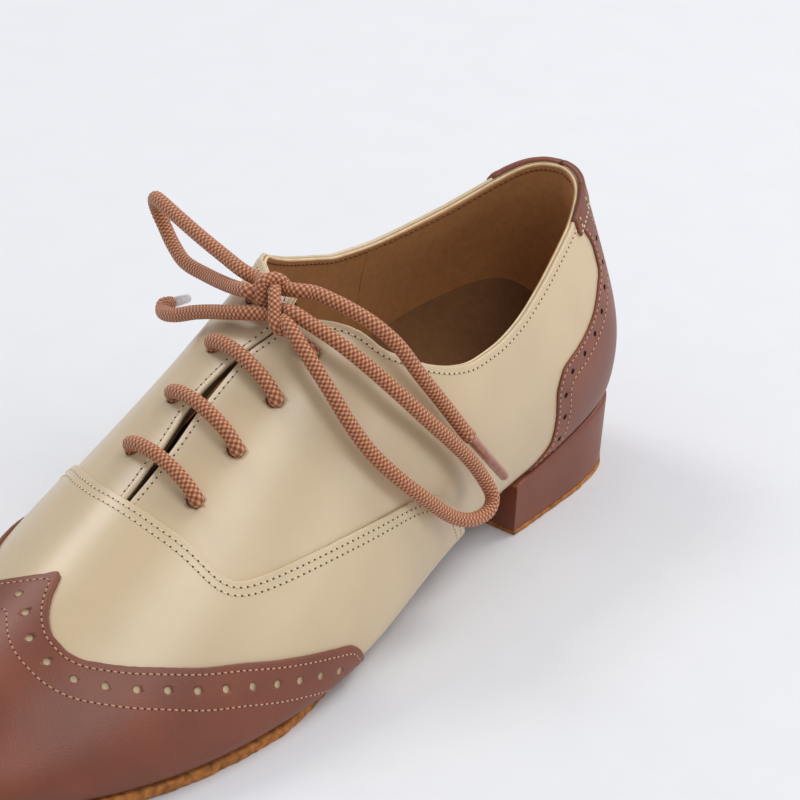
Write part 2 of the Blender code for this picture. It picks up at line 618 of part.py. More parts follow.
def build_upper(base):
    """Every leather, lining and stiffening piece of the upper."""
    whole = clip(base, below_top)
    ends = GAP / 2 + 0.1

    vamp = clip(whole, past_seam)
    shell("vamp", vamp, VAMP_LAYER, "tan_leather")
    cap = clip(clip(whole, lambda P: above_feather(P, 2.6)), past_wing)
    shell("wing_cap", cap, CAP_LAYER, "brown_leather")

    front = clip(whole, lambda P: past_seam(P) - UNDERLAP - ends)
    backer = clip(front, lambda P: PUFF_EDGE - P[:, 0] - ends)
    shell("vamp_backer", backer, QUARTER_LAYER, "stiffener")
    puff = clip(front, lambda P: P[:, 0] - PUFF_EDGE - ends)
    shell("toe_puff", puff, QUARTER_LAYER, "stiffener")

    rear = clip(whole, lambda P: UNDERLAP - past_seam(P) - ends)
    collar_line = lambda P: through(TOP_LATERAL)(P[:, 0]) - COLLAR_DEPTH - P[:, 2]
    back = clip(clip(whole, behind_counter), lambda P: above_feather(P, 0.6))
    shell("heel_counter", clip(back, lambda P: collar_line(P) - ends), VAMP_LAYER, "brown_leather")
    shell("collar_band", clip(back, lambda P: -collar_line(P) - ends), VAMP_LAYER, "brown_leather")

    lined = clip(whole, lambda P: LINING_SEAM - P[:, 0] - ends)
    facing = lambda P: np.maximum(np.abs(off_gap(P)) - 20, 126 - P[:, 0])
    stiff = lambda P: np.maximum(P[:, 0] - STIFFENER_EDGE, P[:, 2] - STIFFENER_TOP)
    shell("vamp_lining", clip(whole, lambda P: P[:, 0] - LINING_SEAM - ends), LINING_LAYER, "lining_leather")
    shell("heel_stiffener", clip(lined, lambda P: -stiff(P) - ends), LINING_LAYER, "stiffener")
    grip = clip(lined, lambda P: GRIP_EDGE - P[:, 0])
    grip = clip(grip, lambda P: above_feather(P, GRIP_LOW))
    shell("heel_grip_lining", grip, GRIP_LAYER, "lining_leather")

    holed = []
    for side, sign in (("lateral", 1), ("medial", -1)):
        one = lambda P: beside_gap(P, sign)
        holed.append(shell("quarter_" + side, clip(rear, one), QUARTER_LAYER, "tan_leather"))
        half = clip(lined, one)
        lining = clip(clip(half, lambda P: stiff(P) - ends), lambda P: facing(P) - ends)
        shell("quarter_lining_" + side, lining, LINING_LAYER, "lining_leather")
        stay = clip(half, lambda P: -facing(P) - ends)
        holed.append(shell("facing_stay_" + side, stay, LINING_LAYER, "stiffener"))
    return holed


def build_tongue(base):
    """A short tongue, stitched at the throat and slumped under the facings."""
    slump = through(((136, 11.0), (150, 9.5), (176, 7.6), (188, 5.6), (198, 0.6), (TONGUE_ROOT, 0.0)))
    skin = clip(base, lambda P: 17.0 - 0.06 * (P[:, 0] - 150) - np.abs(off_gap(P)))
    skin = clip(clip(skin, lambda P: P[:, 0] - 140.0), lambda P: TONGUE_ROOT - P[:, 0])
    tongue = shell("tongue", skin, TONGUE_LAYER, "lining_leather", sag=lambda P: slump(P[:, 0]))
    move_origin(tongue, (TONGUE_ROOT, 0.0, TONGUE_HINGE_Z))


class Surface:
    """Looks up points over the reference surface."""

    def __init__(self, base):
        self.tree = BVHTree.FromPolygons(base[0].tolist(), base[2].tolist())

    def above(self, s, w, height):
        """The point a height above the surface over (s, w), and the normal there."""
        hit, normal, _, _ = self.tree.ray_cast(Vector((s, w, 200)), Vector((0, 0, -1)))
        return np.array(hit + normal * height), np.array(normal)


def cut_eyelets(surface, targets):
    """Round lace holes through the facings and their stays."""
    for side in (0, 1):
        for row, s in enumerate(EYELET_S[side]):
            centre, normal = surface.above(s, EYELET_W[side], 0.0)
            turn = np.linspace(0, 2 * math.pi, EYELET_SIDES + 1)[:-1]
            across = np.cross(normal, (1, 0, 0))
            across /= np.linalg.norm(across)
            along = np.cross(normal, across)
            ring = [EYELET_R * (math.cos(a) * across + math.sin(a) * along) for a in turn]
            rings = [[centre + normal * h + r for r in ring] for h in (2.0, -6.0)]
            hole = loft("eyelet_cutter_%d_%d" % (side, row), rings, "steel")
            for target in targets[2 * side:2 * side + 2]:
                cutter(target, hole)


def cord(name, route, step, look="lace"):
    """A round cord along a smooth curve through its route's points."""
    points = place(smooth_route(route, step))
    curve = bpy.data.curves.new(name, "CURVE")
    curve.dimensions = "3D"
    curve.bevel_depth = CORD / 2 * MM
    curve.bevel_resolution = 2
    curve.use_fill_caps = True
    line = curve.splines.new("POLY")
    line.points.add(len(points) - 1)
    for point, co in zip(line.points, points):
        point.co = (*co, 1.0)
    own = material(look).copy()
    own.name = name + "_" + look
    curve.materials.append(own)
    piece = bpy.data.objects.new(name, curve)
    bpy.context.collection.objects.link(piece)
    return piece


def laced_route(surface):
    """The lace's run through the facings, from the knot round to the knot."""
    eyelets = [[(s, EYELET_W[side]) for s in EYELET_S[side]] for side in (0, 1)]
    lateral, medial = eyelets

    def over(a, b):
        """A bar across the top between two eyelets."""
        return [surface.above(a[0] + (b[0] - a[0]) * t, a[1] + (b[1] - a[1]) * t, h)[0]
                for t, h in ((0.2, 3.3), (0.5, 3.9), (0.8, 3.3))]

    def under(a, b, shift):
        """A run along the inside between two eyelets."""
        return [surface.above(a[0] + (b[0] - a[0]) * t, a[1] + (b[1] - a[1]) * t + shift * k, h)[0]
                for t, k, h in ((0.3, 0.8, -6.2), (0.7, 0.8, -6.2))]

    def hole(a, down):
        heights = (1.4, -1.8, -5.0) if down else (-5.0, -1.8, 1.4)
        return [surface.above(a[0], a[1], h)[0] for h in heights]

    start = [surface.above(130.6, -8.4, 2.3)[0], surface.above(129.8, -11.2, 2.1)[0]]
    finish = [surface.above(135.0, 11.6, 1.9)[0], surface.above(135.6, 8.3, 1.9)[0]]
    return (start + hole(medial[3], True) + under(medial[3], medial[2], 0) + hole(medial[2], False)
            + over(medial[2], lateral[2]) + hole(lateral[2], True) + under(lateral[2], lateral[0], -6)
            + hole(lateral[0], False) + over(lateral[0], medial[0]) + hole(medial[0], True)
            + under(medial[0], medial[1], 0) + hole(medial[1], False) + over(medial[1], lateral[1])
            + hole(lateral[1], True) + under(lateral[1], lateral[3], 6) + hole(lateral[3], False)
            + finish)


def build_knot():
    """The bow's knot, a plain rounded body."""
    rings = []
    for k in range(1, 8):
        a = math.pi * k / 8
        turn = [2 * math.pi * j / 12 for j in range(12)]
        rings.append([(KNOT[0] + KNOT_RADII[0] * math.sin(a) * math.cos(b),
                       KNOT[1] + KNOT_RADII[1] * math.sin(a) * math.sin(b),
                       KNOT[2] + KNOT_RADII[2] * math.cos(a)) for b in turn])
    loft("lace_knot", rings, "lace", 60)


def build_aglet(name, ends):
    """The moulded sleeve on a lace end."""
    a, b = (np.array(p) for p in ends)
    axis = (b - a) / np.linalg.norm(b - a)
    across = np.cross(axis, (0, 0, 1))
    across /= np.linalg.norm(across)
    up = np.cross(axis, across)
    rings = []
    for t, radius in ((0.02, AGLET_R), (0.93, AGLET_R * 0.92), (1.0, AGLET_R * 0.6)):
        turn = [2 * math.pi * j / 12 for j in range(12)]
        rings.append([a + (b - a) * t + radius * (math.cos(k) * across + math.sin(k) * up) for k in turn])
    loft(name, rings, "aglet", 50)


def with_aglet(route, ends):
    """A free end's route, brought straight up to its aglet."""
    a, b = (np.array(p) for p in ends)
    axis = (b - a) / np.linalg.norm(b - a)
    return list(route) + [a - axis * 5.0, a - axis * 2.5, a - axis * GAP]


def build_lace(surface):
    """The lace: its run through the eyelets, knot, bow, free ends and aglets."""
    cord("lace_through_eyelets", laced_route(surface), 4.4)
    cord("lace_loop_left", LOOP_LEFT, 9.0)
    cord("lace_loop_right", LOOP_RIGHT, 9.5)
    cord("lace_end_left", with_aglet(END_LEFT, AGLET_LEFT), 4.5)
    cord("lace_end_right", with_aglet(END_RIGHT, AGLET_RIGHT), 9.0)
    build_knot()
    build_aglet("aglet_left", AGLET_LEFT)
    build_aglet("aglet_right", AGLET_RIGHT)


def main():
    for old in list(bpy.data.objects):
        bpy.data.objects.remove(old, do_unlink=True)
    base = reference_surface(1)
    surface = Surface(base)
    block = build_heel()
    board = build_sole()
    build_fixings((board, block))
    holed = build_upper(base)
    cut_eyelets(surface, holed)
    build_tongue(base)
    build_lace(surface)


main()
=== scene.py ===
"""Fine model of the two-tone wing-tip dance shoe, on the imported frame.

Shoe coordinates, in mm: s along from the heel's back to the toe, w across
(positive to the lateral side), z up. place() turns them into metres.
"""
import math

import bmesh
import bpy
import numpy as np
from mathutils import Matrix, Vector
from mathutils.bvhtree import BVHTree


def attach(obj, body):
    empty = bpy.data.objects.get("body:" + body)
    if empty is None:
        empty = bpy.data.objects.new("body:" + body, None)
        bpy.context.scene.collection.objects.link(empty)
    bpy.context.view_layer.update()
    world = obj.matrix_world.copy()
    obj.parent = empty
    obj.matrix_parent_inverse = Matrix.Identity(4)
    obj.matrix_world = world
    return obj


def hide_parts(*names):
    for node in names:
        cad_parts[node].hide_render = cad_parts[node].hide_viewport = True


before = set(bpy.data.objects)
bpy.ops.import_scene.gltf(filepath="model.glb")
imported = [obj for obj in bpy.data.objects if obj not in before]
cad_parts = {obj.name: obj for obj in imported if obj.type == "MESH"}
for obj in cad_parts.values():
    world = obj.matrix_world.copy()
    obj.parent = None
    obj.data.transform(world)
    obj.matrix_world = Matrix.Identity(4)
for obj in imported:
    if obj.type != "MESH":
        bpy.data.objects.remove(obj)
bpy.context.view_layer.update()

MM = 0.001
ORIGIN_S = 143.3
ORIGIN_W = 0.29
BODY = "shoe"

# ---------------------------------------------------------------- the last
STATIONS = (28, 50, 72, 94, 118, 142, 166, 190, 214, 236, 256)
FEATHER_Z = (21.3, 17.8, 15.2, 12.3, 9.0, 5.7, 4.1, 4.0, 4.1, 5.2, 7.0)
LATERAL_W = (
    (27.5, 29.5, 30.0, 32.0, 37.0, 43.0, 46.0, 46.5, 44.0, 38.0, 29.0),
    (30.5, 32.5, 33.0, 35.0, 39.5, 45.2, 47.6, 48.0, 45.4, 39.5, 30.6),
    (32.0, 34.5, 35.7, 38.0, 41.0, 44.5, 46.0, 44.8, 41.2, 35.0, 26.0),
    (27.3, 31.5, 34.5, 36.5, 37.5, 37.5, 36.5, 34.0, 30.0, 24.5, 17.5),
    (17.5, 23.5, 28.0, 29.5, 22.0, 17.5, 16.0, 15.0, 14.0, 12.0, 9.0))
MEDIAL_W = (
    (27.5, 29.0, 27.5, 27.0, 31.0, 38.5, 43.5, 45.0, 42.5, 37.0, 28.5),
    (30.5, 32.2, 31.0, 31.5, 35.5, 42.0, 46.0, 46.8, 44.0, 38.5, 30.0),
    (32.0, 34.0, 35.0, 36.5, 40.5, 45.5, 47.5, 46.8, 43.0, 36.5, 27.5),
    (27.3, 31.0, 34.5, 36.5, 39.5, 41.0, 41.0, 39.0, 35.5, 30.0, 21.5),
    (17.5, 23.0, 27.5, 29.5, 27.0, 24.0, 23.0, 22.0, 20.0, 16.5, 12.0))
LATERAL_Z = (
    FEATHER_Z,
    (28.8, 26.8, 24.6, 21.0, 16.8, 12.5, 10.5, 10.3, 10.2, 10.8, 12.0),
    (45.0, 44.0, 42.0, 39.0, 35.0, 30.0, 27.0, 25.0, 22.5, 20.0, 18.5),
    (66.0, 65.0, 63.0, 60.0, 58.0, 53.0, 46.5, 40.5, 34.5, 29.0, 25.5),
    (88.0, 86.0, 84.0, 84.0, 93.0, 82.0, 69.5, 57.5, 46.8, 37.5, 31.5))
MEDIAL_Z = (
    FEATHER_Z,
    LATERAL_Z[1],
    (45.0, 44.0, 42.5, 40.0, 37.0, 33.0, 30.0, 28.0, 25.0, 22.0, 19.5),
    (66.0, 65.0, 64.0, 62.0, 61.0, 56.5, 50.5, 44.5, 38.0, 32.0, 27.0),
    (88.0, 86.0, 84.5, 88.0, 96.0, 82.5, 70.0, 58.0, 47.8, 38.7, 32.0))
HEEL_CENTRE = ((4.0, 23.0), (1.0, 30.0), (-2.5, 46.0), (1.5, 68.0), (5.5, 94.0))
HEEL_CORNER = ((9.0, 21.5, 22.8), (6.5, 23.5, 29.8), (4.5, 25.0, 46.0),
               (8.5, 20.0, 68.0), (11.5, 12.5, 92.0))
TOE_CENTRE = ((288.5, 10.6), (289.0, 15.5), (282.5, 20.5), (273.0, 26.0), (264.0, 30.3))
TOE_CORNER = ((276.0, 17.5, 9.1), (277.5, 18.3, 14.3), (272.5, 15.0, 19.5),
              (265.0, 10.0, 25.0), (258.0, 5.5, 29.5))
TOE_W = -1.5
RIDGE = ((118, -2, 101), (142, -2, 88.5), (166, -3, 75.5), (190, -4, 62.8),
         (214, -4, 51.3), (236, -4, 41.5), (253, -3.5, 34.8))
FIRST_RIDGE = 4
MARGIN = 12.0
DIAGONAL = 0.7
TOE_SPRING = 1.7

# ----------------------------------------------------- outlines on the last
TOP_LATERAL = ((0, 91.5), (8, 90), (18, 86.6), (26, 83.2), (38, 79.4), (49, 75.9), (65, 71.2),
               (76, 69.5), (86, 69.3), (94.5, 71), (105, 75.6), (116, 82.6), (124, 87.8),
               (132, 93), (150, 105))
TOP_MEDIAL = ((0, 91.5), (8, 89.8), (18, 86), (26, 83.2), (38, 80), (49, 78.2), (62, 77),
              (76, 78), (84, 80.6), (97, 85.6), (105, 89.8), (113.5, 94.7), (150, 97))
THROAT_TOP = 132.7
THROAT_W = 0.8
FACING_SLOPE = (0.66, 0.73)
GAP_LINE = ((132.7, 2.4), (138, 0.8), (144, -1.6), (150, -2.9), (162, -3.9), (176, -2.5), (190, -1.8),
            (200, -1.8))
GAP_HALF = ((132.7, 0.4), (143, 0.4), (148, 0.9), (162, 1.8), (176, 1.4), (190, 0.8), (200, 0.6))
SEAM_FRONT = ((-70, 176), (-55, 178), (-41, 182), (-27, 188.5), (-12, 192.5), (3, 193.5), (16, 193.2),
              (27, 192), (39, 190.8), (50, 190.3), (70, 190))
SEAM_LOW = ((86, 6), (94.5, 19.3), (104, 33), (112, 39.5), (120, 42.3), (130, 43.5), (150, 44),
            (186, 42.2), (215, 40))
SEAM_ROUND = 5.0
WING = ((-105, 158), (-96, 162), (-90, 166), (-78, 177), (-70, 186), (-64, 198), (-58, 212), (-50, 224),
        (-39, 226), (-24, 224.5), (-8, 221), (0, 218.5), (7, 225.4), (16, 229.9), (30, 233), (42, 233.3),
        (51, 232), (58, 228.8), (66, 223), (72, 215.4), (77, 207), (81, 196), (85, 186), (88.5, 176),
        (92, 165.7), (96, 156), (105, 150))
COUNTER = ((15, 62), (20, 57), (27, 50.5), (34, 50), (42, 50.5), (49.5, 47), (53, 37), (57.5, 28),
           (63.5, 21.5), (67.5, 18.2), (73, 18.2), (78.5, 20.5), (84.5, 26.2), (95, 30))
COLLAR_DEPTH = 5.0
AXIS_W = -2.0
AXIS_Z = 20.0
UNDERLAP = 8.0
LEVEL = 4               # subdivision of the fine surface

# offsets from the reference surface, outer and inner
CAP_LAYER = (1.7, 0.5)
VAMP_LAYER = (0.6, -0.5)
QUARTER_LAYER = (-0.5, -1.7)
LINING_LAYER = (-1.7, -2.9)
COUNTER_LAYER = (0.2, -0.5)
COLLAR_TOP = 0.45
COLLAR_FRONT = (24.8, 21.0)   # where the collar band ends, lateral and medial
GRIP_FRONT = 58.0
SOCK_CLEAR = 4.3
SIDES = ("lateral", "medial")

# stitch rows and punched holes, in mm from the panel's edge
VAMP_ROWS = (1.9, 4.1)
CAP_ROWS = (2.0, 11.2)
CAP_HOLES = 6.2
TOP_ROW = 2.1
FACING_ROW = 1.9
COUNTER_ROWS = (0.9, 6.6)
COUNTER_HOLES = 3.8
COLLAR_BARS = (16.0, 22.6)

# ----------------------------------------------------------- sole and heel
BREAST_S = 64.3
HEEL_LATERAL = ((BREAST_S, 30.1), (48, 29.3), (28, 27.6), (14, 23.2), (6.2, 13.5), (4.3, 0))
HEEL_MEDIAL = ((BREAST_S, -28.4), (48, -28.6), (28, -27.4), (14, -23.2), (6.2, -13.5), (4.3, 0))
HEEL_TAPER = 0.965
TOP_PIECE = 1.5
SOLE_INSET = -0.5        # the sole's edge stands past the feather line
SOLE_TOP = -1.0          # from the feather line
SOLE_LOW = ((140, 165), (-3.6, -4.4))
SOLE_EDGE = 0.6
SOLE_ROUGH = 0.22
WAIST = 6.5              # the most that the sole is cut in
WAIST_SHARE = ((BREAST_S, 0.92), (76, 1), (92, 1), (150, 0.77), (184, 0))

# -------------------------------------------------------------------- lace
CORD = 4.2
BRAID_PITCH = 1.4        # length of one crossing
BRAID_FOLD = 6           # crowns round the cord
EYELET_S = ((182, 165.5, 149.5, 134.5), (179, 162, 145.5, 129.5))
EYELET_W = (13.3, -12.6)
EYELET_R = 2.5
LOOP_LEFT = ((132.6, -5.6, 99.4), (130.8, -9.0, 98.9), (130.6, -15.4, 99.6), (129.0, -23.5, 100.6),
             (127.5, -33.0, 102.3), (125.0, -44.0, 103.9), (122.5, -52.9, 104.8), (120.3, -57.3, 103.6),
             (118.4, -58.8, 99.6), (118.0, -56.3, 94.4), (120.3, -50.8, 91.0), (123.9, -42.9, 89.6),
             (127.4, -31.8, 91.0), (132.8, -18.8, 94.6), (136.0, -9.0, 97.6), (134.6, -5.6, 97.8))
LOOP_RIGHT = ((133.4, 2.3, 94.3), (135.2, 7.4, 96.2), (134.6, 13.8, 94.4), (132.2, 21.8, 90.3),
              (127.7, 28.6, 83.3), (122.5, 35.0, 75.0), (116.5, 38.9, 66.5), (109.1, 41.7, 57.2),
              (101.6, 42.9, 47.8), (95.9, 43.6, 38.9), (94.4, 45.1, 33.2), (98.0, 46.1, 30.4),
              (105.3, 46.0, 31.3),
              (112.6, 44.8, 35.6), (123.5, 43.2, 46.6), (130.6, 40.1, 55.0), (135.9, 35.5, 63.5),
              (138.9, 30.5, 72.2), (140.2, 25.0, 80.4), (140.6, 17.2, 88.9),
              (139.4, 10.4, 93.8), (137.4, 6.0, 94.4))
END_LEFT = ((136.6, -0.2, 93.5), (139.2, -5.4, 93.2), (139.8, -12.1, 91.2), (139.2, -18.2, 89.0),
            (138.8, -25.7, 86.0), (138.3, -32.7, 82.5), (137.1, -37.9, 80.3), (134.2, -42.4, 78.4))
END_RIGHT = ((130.0, -0.6, 98.6), (129.4, 4.8, 99.6), (127.4, 8.4, 99.4), (126.0, 12.9, 98.4),
             (123.6, 18.7, 96.0), (121.0, 24.7, 92.5), (117.1, 29.9, 86.1), (112.9, 34.2, 76.7),
             (108.0, 37.3, 67.8))
AGLET_LEFT = ((127.0, -46.3, 76.6), (115.6, -50.3, 72.0))
AGLET_RIGHT = ((99.0, 40.72, 53.1), (84.0, 41.3, 33.6))
AGLET_R = 1.6
# The knot's two visible turns, (s, w, z)
KNOT_ARCH = ((134.2, -3.1, 94.1), (135.4, -3.5, 96.9), (135.5, -3.9, 99.3), (134.9, -3.9, 101.1),
             (133.6, -3.2, 102.0), (131.9, -2.1, 102.1), (130.4, -1.2, 101.1), (128.8, -1.0, 99.0),
             (127.0, -1.8, 96.2))
KNOT_WRAP = ((129.1, -3.7, 99.5), (132.0, -1.9, 99.7), (134.7, 0.4, 99.6), (136.9, 2.4, 98.1),
             (138.4, 3.7, 96.1), (139.5, 4.7, 94.4), (139.7, 5.7, 92.9), (138.6, 6.4, 91.8),
             (137.6, 7.4, 92.0))

# ----------------------------------------------------------------- colours
TAN = (0.575, 0.440, 0.270)
BROWN = (0.180, 0.044, 0.017)
SUEDE = (0.400, 0.175, 0.055)
EDGE = (0.340, 0.125, 0.028)
THREAD = (0.700, 0.560, 0.360)
THREAD_BROWN = (0.520, 0.270, 0.160)
# the cord's colour, as painted highlight on the braid's crowns and painted shade in its valleys
CORD_LIT_CROWN = (0.740, 0.330, 0.135)
CORD_SHADED_VALLEY = (0.200, 0.042, 0.012)

# ------------------------------------------------------------------- stage
CAMERA = (40.287, 29.960, 1.3034)            # azimuth, height in degrees, distance in m
CAMERA_AT = (78.336, -2.485, 40.0)           # shoe coordinates of the point looked at
FOCUS = 36.0 * 4522.9 / 800.0                # focal length in mm on a 36 mm sensor
FLOOR = 4.0                                  # half the floor's side in m


# ================================================================== helpers
def place(points):
    """Shoe coordinates in mm to the model's metres."""
    p = np.asarray(points, float).reshape(-1, 3)
    return np.column_stack([p[:, 1] - ORIGIN_W, ORIGIN_S - p[:, 0], p[:, 2]]) * MM


def unit(v):
    v = np.asarray(v, float)
    return v / np.maximum(np.linalg.norm(v, axis=-1, keepdims=True), 1e-9)


def through(points):
    """A smooth function y(x) through the points, without overshoot, level beyond both ends."""
    x = np.array([p[0] for p in points], float)
    y = np.array([p[1] for p in points], float)
    rise = np.diff(y) / np.diff(x)
    same = rise[:-1] * rise[1:] > 0
    mean = 2 * rise[:-1] * rise[1:] / np.where(same, rise[:-1] + rise[1:], 1.0)
    slope = np.concatenate([rise[:1], np.where(same, mean, 0.0), rise[-1:]])

    def value(q):
        q = np.clip(q, x[0], x[-1])
        i = np.clip(np.searchsorted(x, q) - 1, 0, len(x) - 2)
        h = x[i + 1] - x[i]
        t = (q - x[i]) / h
        ends = (1 + 2 * t) * (1 - t) ** 2 * y[i] + t * t * (3 - 2 * t) * y[i + 1]
        return ends + t * (1 - t) * h * ((1 - t) * slope[i] - t * slope[i + 1])

    return value


def smooth_max(a, b, radius):
    return 0.5 * (a + b + np.sqrt((a - b) ** 2 + radius ** 2))


def lengths(line):
    """The length of a line of points up to each of them."""
    return np.concatenate([[0], np.cumsum(np.linalg.norm(np.diff(line[:, :3], axis=0), axis=1))])


def resample(line, step):
    """Points about step apart along a line of points."""
    line = np.asarray(line, float)
    along = lengths(line)
    at = np.linspace(0, along[-1], max(3, int(round(along[-1] / step)) + 1))
    return np.column_stack([np.interp(at, along, line[:, k]) for k in range(line.shape[1])])


def smooth_route(route, step):
    """Points about step apart on a smooth curve through the route's points."""
    p = np.array(route, float)
    ends = np.vstack([2 * p[0] - p[1], p, 2 * p[-1] - p[-2]])
    fine = [p[0]]
    for a, b, c, d in zip(ends, ends[1:], ends[2:], ends[3:]):
        for t in np.linspace(0, 1, 13)[1:]:
            fine.append(0.5 * (2 * b + (c - a) * t + (2 * a - 5 * b + 4 * c - d) * t ** 2
                               + (3 * b - a - 3 * c + d) * t ** 3))
    return resample(np.array(fine), step)


def relax(line, times=3):
    """The same line with small kinks evened out."""
    line = np.array(line, float)
    for _ in range(times):
        line[1:-1] = 0.25 * line[:-2] + 0.5 * line[1:-1] + 0.25 * line[2:]
    return line


def ripple(p, size, seed=0.0):
    """Smooth repeatable noise, about -1 to 1, at points in mm."""
    q = np.asarray(p, float) / size
    a = np.sin(q[:, 0] * 1.7 + 2.1 * np.sin(q[:, 1] * 1.3 + seed) + seed)
    b = np.sin(q[:, 1] * 1.9 + 1.7 * np.sin(q[:, 2] * 1.5 + seed * 2) + 1.3)
    c = np.sin(q[:, 2] * 1.6 + 1.9 * np.sin(q[:, 0] * 1.1 + seed * 3) + 2.6)
    return (a + b + c) / 3


def tube_faces(rows, sides, first=0):
    """The quads between equal rings of points, and the two end faces."""
    quads = []
    for i in range(rows - 1):
        for k in range(sides):
            a, b = first + i * sides + k, first + i * sides + (k + 1) % sides
            quads.append((a, b, b + sides, a + sides))
    last = first + (rows - 1) * sides
    return quads, [tuple(range(first, first + sides))[::-1], tuple(range(last, last + sides))]


def add_object(name, data):
    made = bpy.data.objects.new(name, data)
    bpy.context.collection.objects.link(made)
    return made


def add_piece(name, points, faces, look, nodes=(), angle=40, body=BODY):
    """One piece from shoe coordinates, riding on a body and standing for CAD nodes."""
    mesh = bpy.data.meshes.new(name)
    mesh.from_pydata(place(points).tolist(), [], [list(map(int, f)) for f in faces])
    mesh.materials.append(look)
    mesh.shade_smooth()
    if angle:
        mesh.set_sharp_from_angle(angle=math.radians(angle))
    piece = add_object(name, mesh)
    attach(piece, body)
    if nodes:
        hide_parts(*nodes)
    return piece


# ==================================================== the reference surface
def cage_columns():
    columns = []

    def column(points, inward):
        columns.append([tuple(np.array(points[0]) + np.array(inward))] + list(points))

    def side(sign, width, height):
        for i, s in enumerate(STATIONS):
            yield [(s, sign * width[k][i], height[k][i]) for k in range(5)]

    cut = MARGIN * DIAGONAL
    column([(s, 0.0, z) for s, z in HEEL_CENTRE], (MARGIN, 0, 0))
    column(HEEL_CORNER, (cut, -cut, 0))
    for points in side(1, LATERAL_W, LATERAL_Z):
        column(points, (0, -MARGIN, 0))
    column(TOE_CORNER, (-cut, -cut, -TOE_SPRING * DIAGONAL))
    column([(s, TOE_W, z) for s, z in TOE_CENTRE], (-MARGIN, 0, -TOE_SPRING))
    column([(s, TOE_W - w, z) for s, w, z in TOE_CORNER], (-cut, cut, -TOE_SPRING * DIAGONAL))
    for points in reversed(list(side(-1, MEDIAL_W, MEDIAL_Z))):
        column(points, (0, MARGIN, 0))
    column([(s, -w, z) for s, w, z in HEEL_CORNER], (cut, cut, 0))
    return columns


def cage():
    columns = cage_columns()
    count, rows, last = len(columns), len(columns[0]), len(STATIONS)
    points = [p for column in columns for p in column]
    faces = []
    for j in range(count):
        for i in range(rows - 1):
            a, b = j * rows + i, ((j + 1) % count) * rows + i
            faces.append((a, a + 1, b + 1, b))
    top = rows - 1
    lateral = [(2 + i) * rows + top for i in range(last)]
    toe = [(2 + last + i) * rows + top for i in range(3)]
    medial = [(2 * last + 4 - i) * rows + top for i in range(last)]
    ridge = {FIRST_RIDGE + i: len(points) + i for i in range(len(RIDGE))}
    points += [tuple(map(float, p)) for p in RIDGE]
    for i in range(FIRST_RIDGE, last - 1):
        faces.append((lateral[i], ridge[i], ridge[i + 1], lateral[i + 1]))
        faces.append((ridge[i], medial[i], medial[i + 1], ridge[i + 1]))
    faces.append((lateral[-1], ridge[last - 1], toe[1], toe[0]))
    faces.append((ridge[last - 1], medial[-1], toe[2], toe[1]))
    return points, faces


def reference_surface(levels):
    points, faces = cage()
    mesh = bpy.data.meshes.new("cage")
    mesh.from_pydata(points, [], faces)
    guide = add_object("cage", mesh)
    smooth = guide.modifiers.new("smooth", "SUBSURF")
    smooth.levels = smooth.render_levels = levels
    smooth.boundary_smooth = "ALL"
    done = guide.evaluated_get(bpy.context.evaluated_depsgraph_get()).to_mesh()
    P = np.array([v.co[:] for v in done.vertices])
    quads = np.array([f.vertices[:] for f in done.polygons])
    bpy.data.objects.remove(guide)
    T = np.vstack([quads[:, (0, 1, 2)], quads[:, (0, 2, 3)]])
    across = np.cross(P[quads[:, 2]] - P[quads[:, 0]], P[quads[:, 3]] - P[quads[:, 1]])
    N = np.zeros_like(P)
    for corner in range(4):
        np.add.at(N, quads[:, corner], across)
    return P, unit(N), T


def crossings(skin, value):
    """Where the zero line crosses edges, and a way to look them up."""
    P, N, _ = skin
    made, points, normals = {}, [], []

    def at(a, b):
        key = (min(a, b), max(a, b))
        if key not in made:
            t = value[key[0]] / (value[key[0]] - value[key[1]])
            made[key] = len(points)
            points.append(P[key[0]] + t * (P[key[1]] - P[key[0]]))
            normals.append(N[key[0]] + t * (N[key[1]] - N[key[0]]))
        return made[key]

    return at, points, normals


def clip(skin, field, snap=0.03):
    """The part of the skin where the field is positive."""
    P, N, T = skin
    value = np.array(field(P), float)
    value[np.abs(value) < snap] = 0.0
    sign = value[T]
    whole = T[(sign >= 0).all(axis=1) & (sign.max(axis=1) > 0)]
    mixed = T[(sign.min(axis=1) < 0) & (sign.max(axis=1) > 0)]
    at, points, normals = crossings(skin, value)
    base, kept = len(P), []
    for tri in mixed:
        outline = []
        for a, b in zip(tri, (tri[1], tri[2], tri[0])):
            if value[a] >= 0:
                outline.append(a)
            if value[a] * value[b] < 0:
                outline.append(base + at(a, b))
        for i in range(1, len(outline) - 1):
            kept.append((outline[0], outline[i], outline[i + 1]))
    if points:
        P, N = np.vstack([P, points]), np.vstack([N, unit(normals)])
        whole = np.vstack([whole, np.array(kept, int)])
    used, compact = np.unique(whole, return_inverse=True)
    return P[used], N[used], compact.reshape(-1, 3)


def contours(skin, field):
    """The lines on the skin where the field is zero, longest first, as rows of point and normal."""
    value = np.array(field(skin[0]), float)
    value[value == 0] = 1e-6
    sign = value[skin[2]]
    mixed = skin[2][(sign.min(axis=1) < 0) & (sign.max(axis=1) > 0)]
    at, points, normals = crossings(skin, value)
    links = {}
    for tri in mixed:
        pair = [at(a, b) for a, b in zip(tri, (tri[1], tri[2], tri[0])) if value[a] * value[b] < 0]
        links.setdefault(pair[0], []).append(pair[1])
        links.setdefault(pair[1], []).append(pair[0])
    lines, left = [], set(links)
    for start in sorted(links, key=lambda k: (len(links[k]), k)):
        if start not in left:
            continue
        chain, here = [], start
        while here is not None:
            left.discard(here)
            chain.append(here)
            here = next((n for n in links[here] if n in left), None)
        if len(links[start]) == 2 and start in links[chain[-1]]:
            chain.append(start)
        lines.append(np.column_stack([np.array(points)[chain], unit(np.array(normals)[chain])]))
    return sorted(lines, key=lambda line: -len(line))


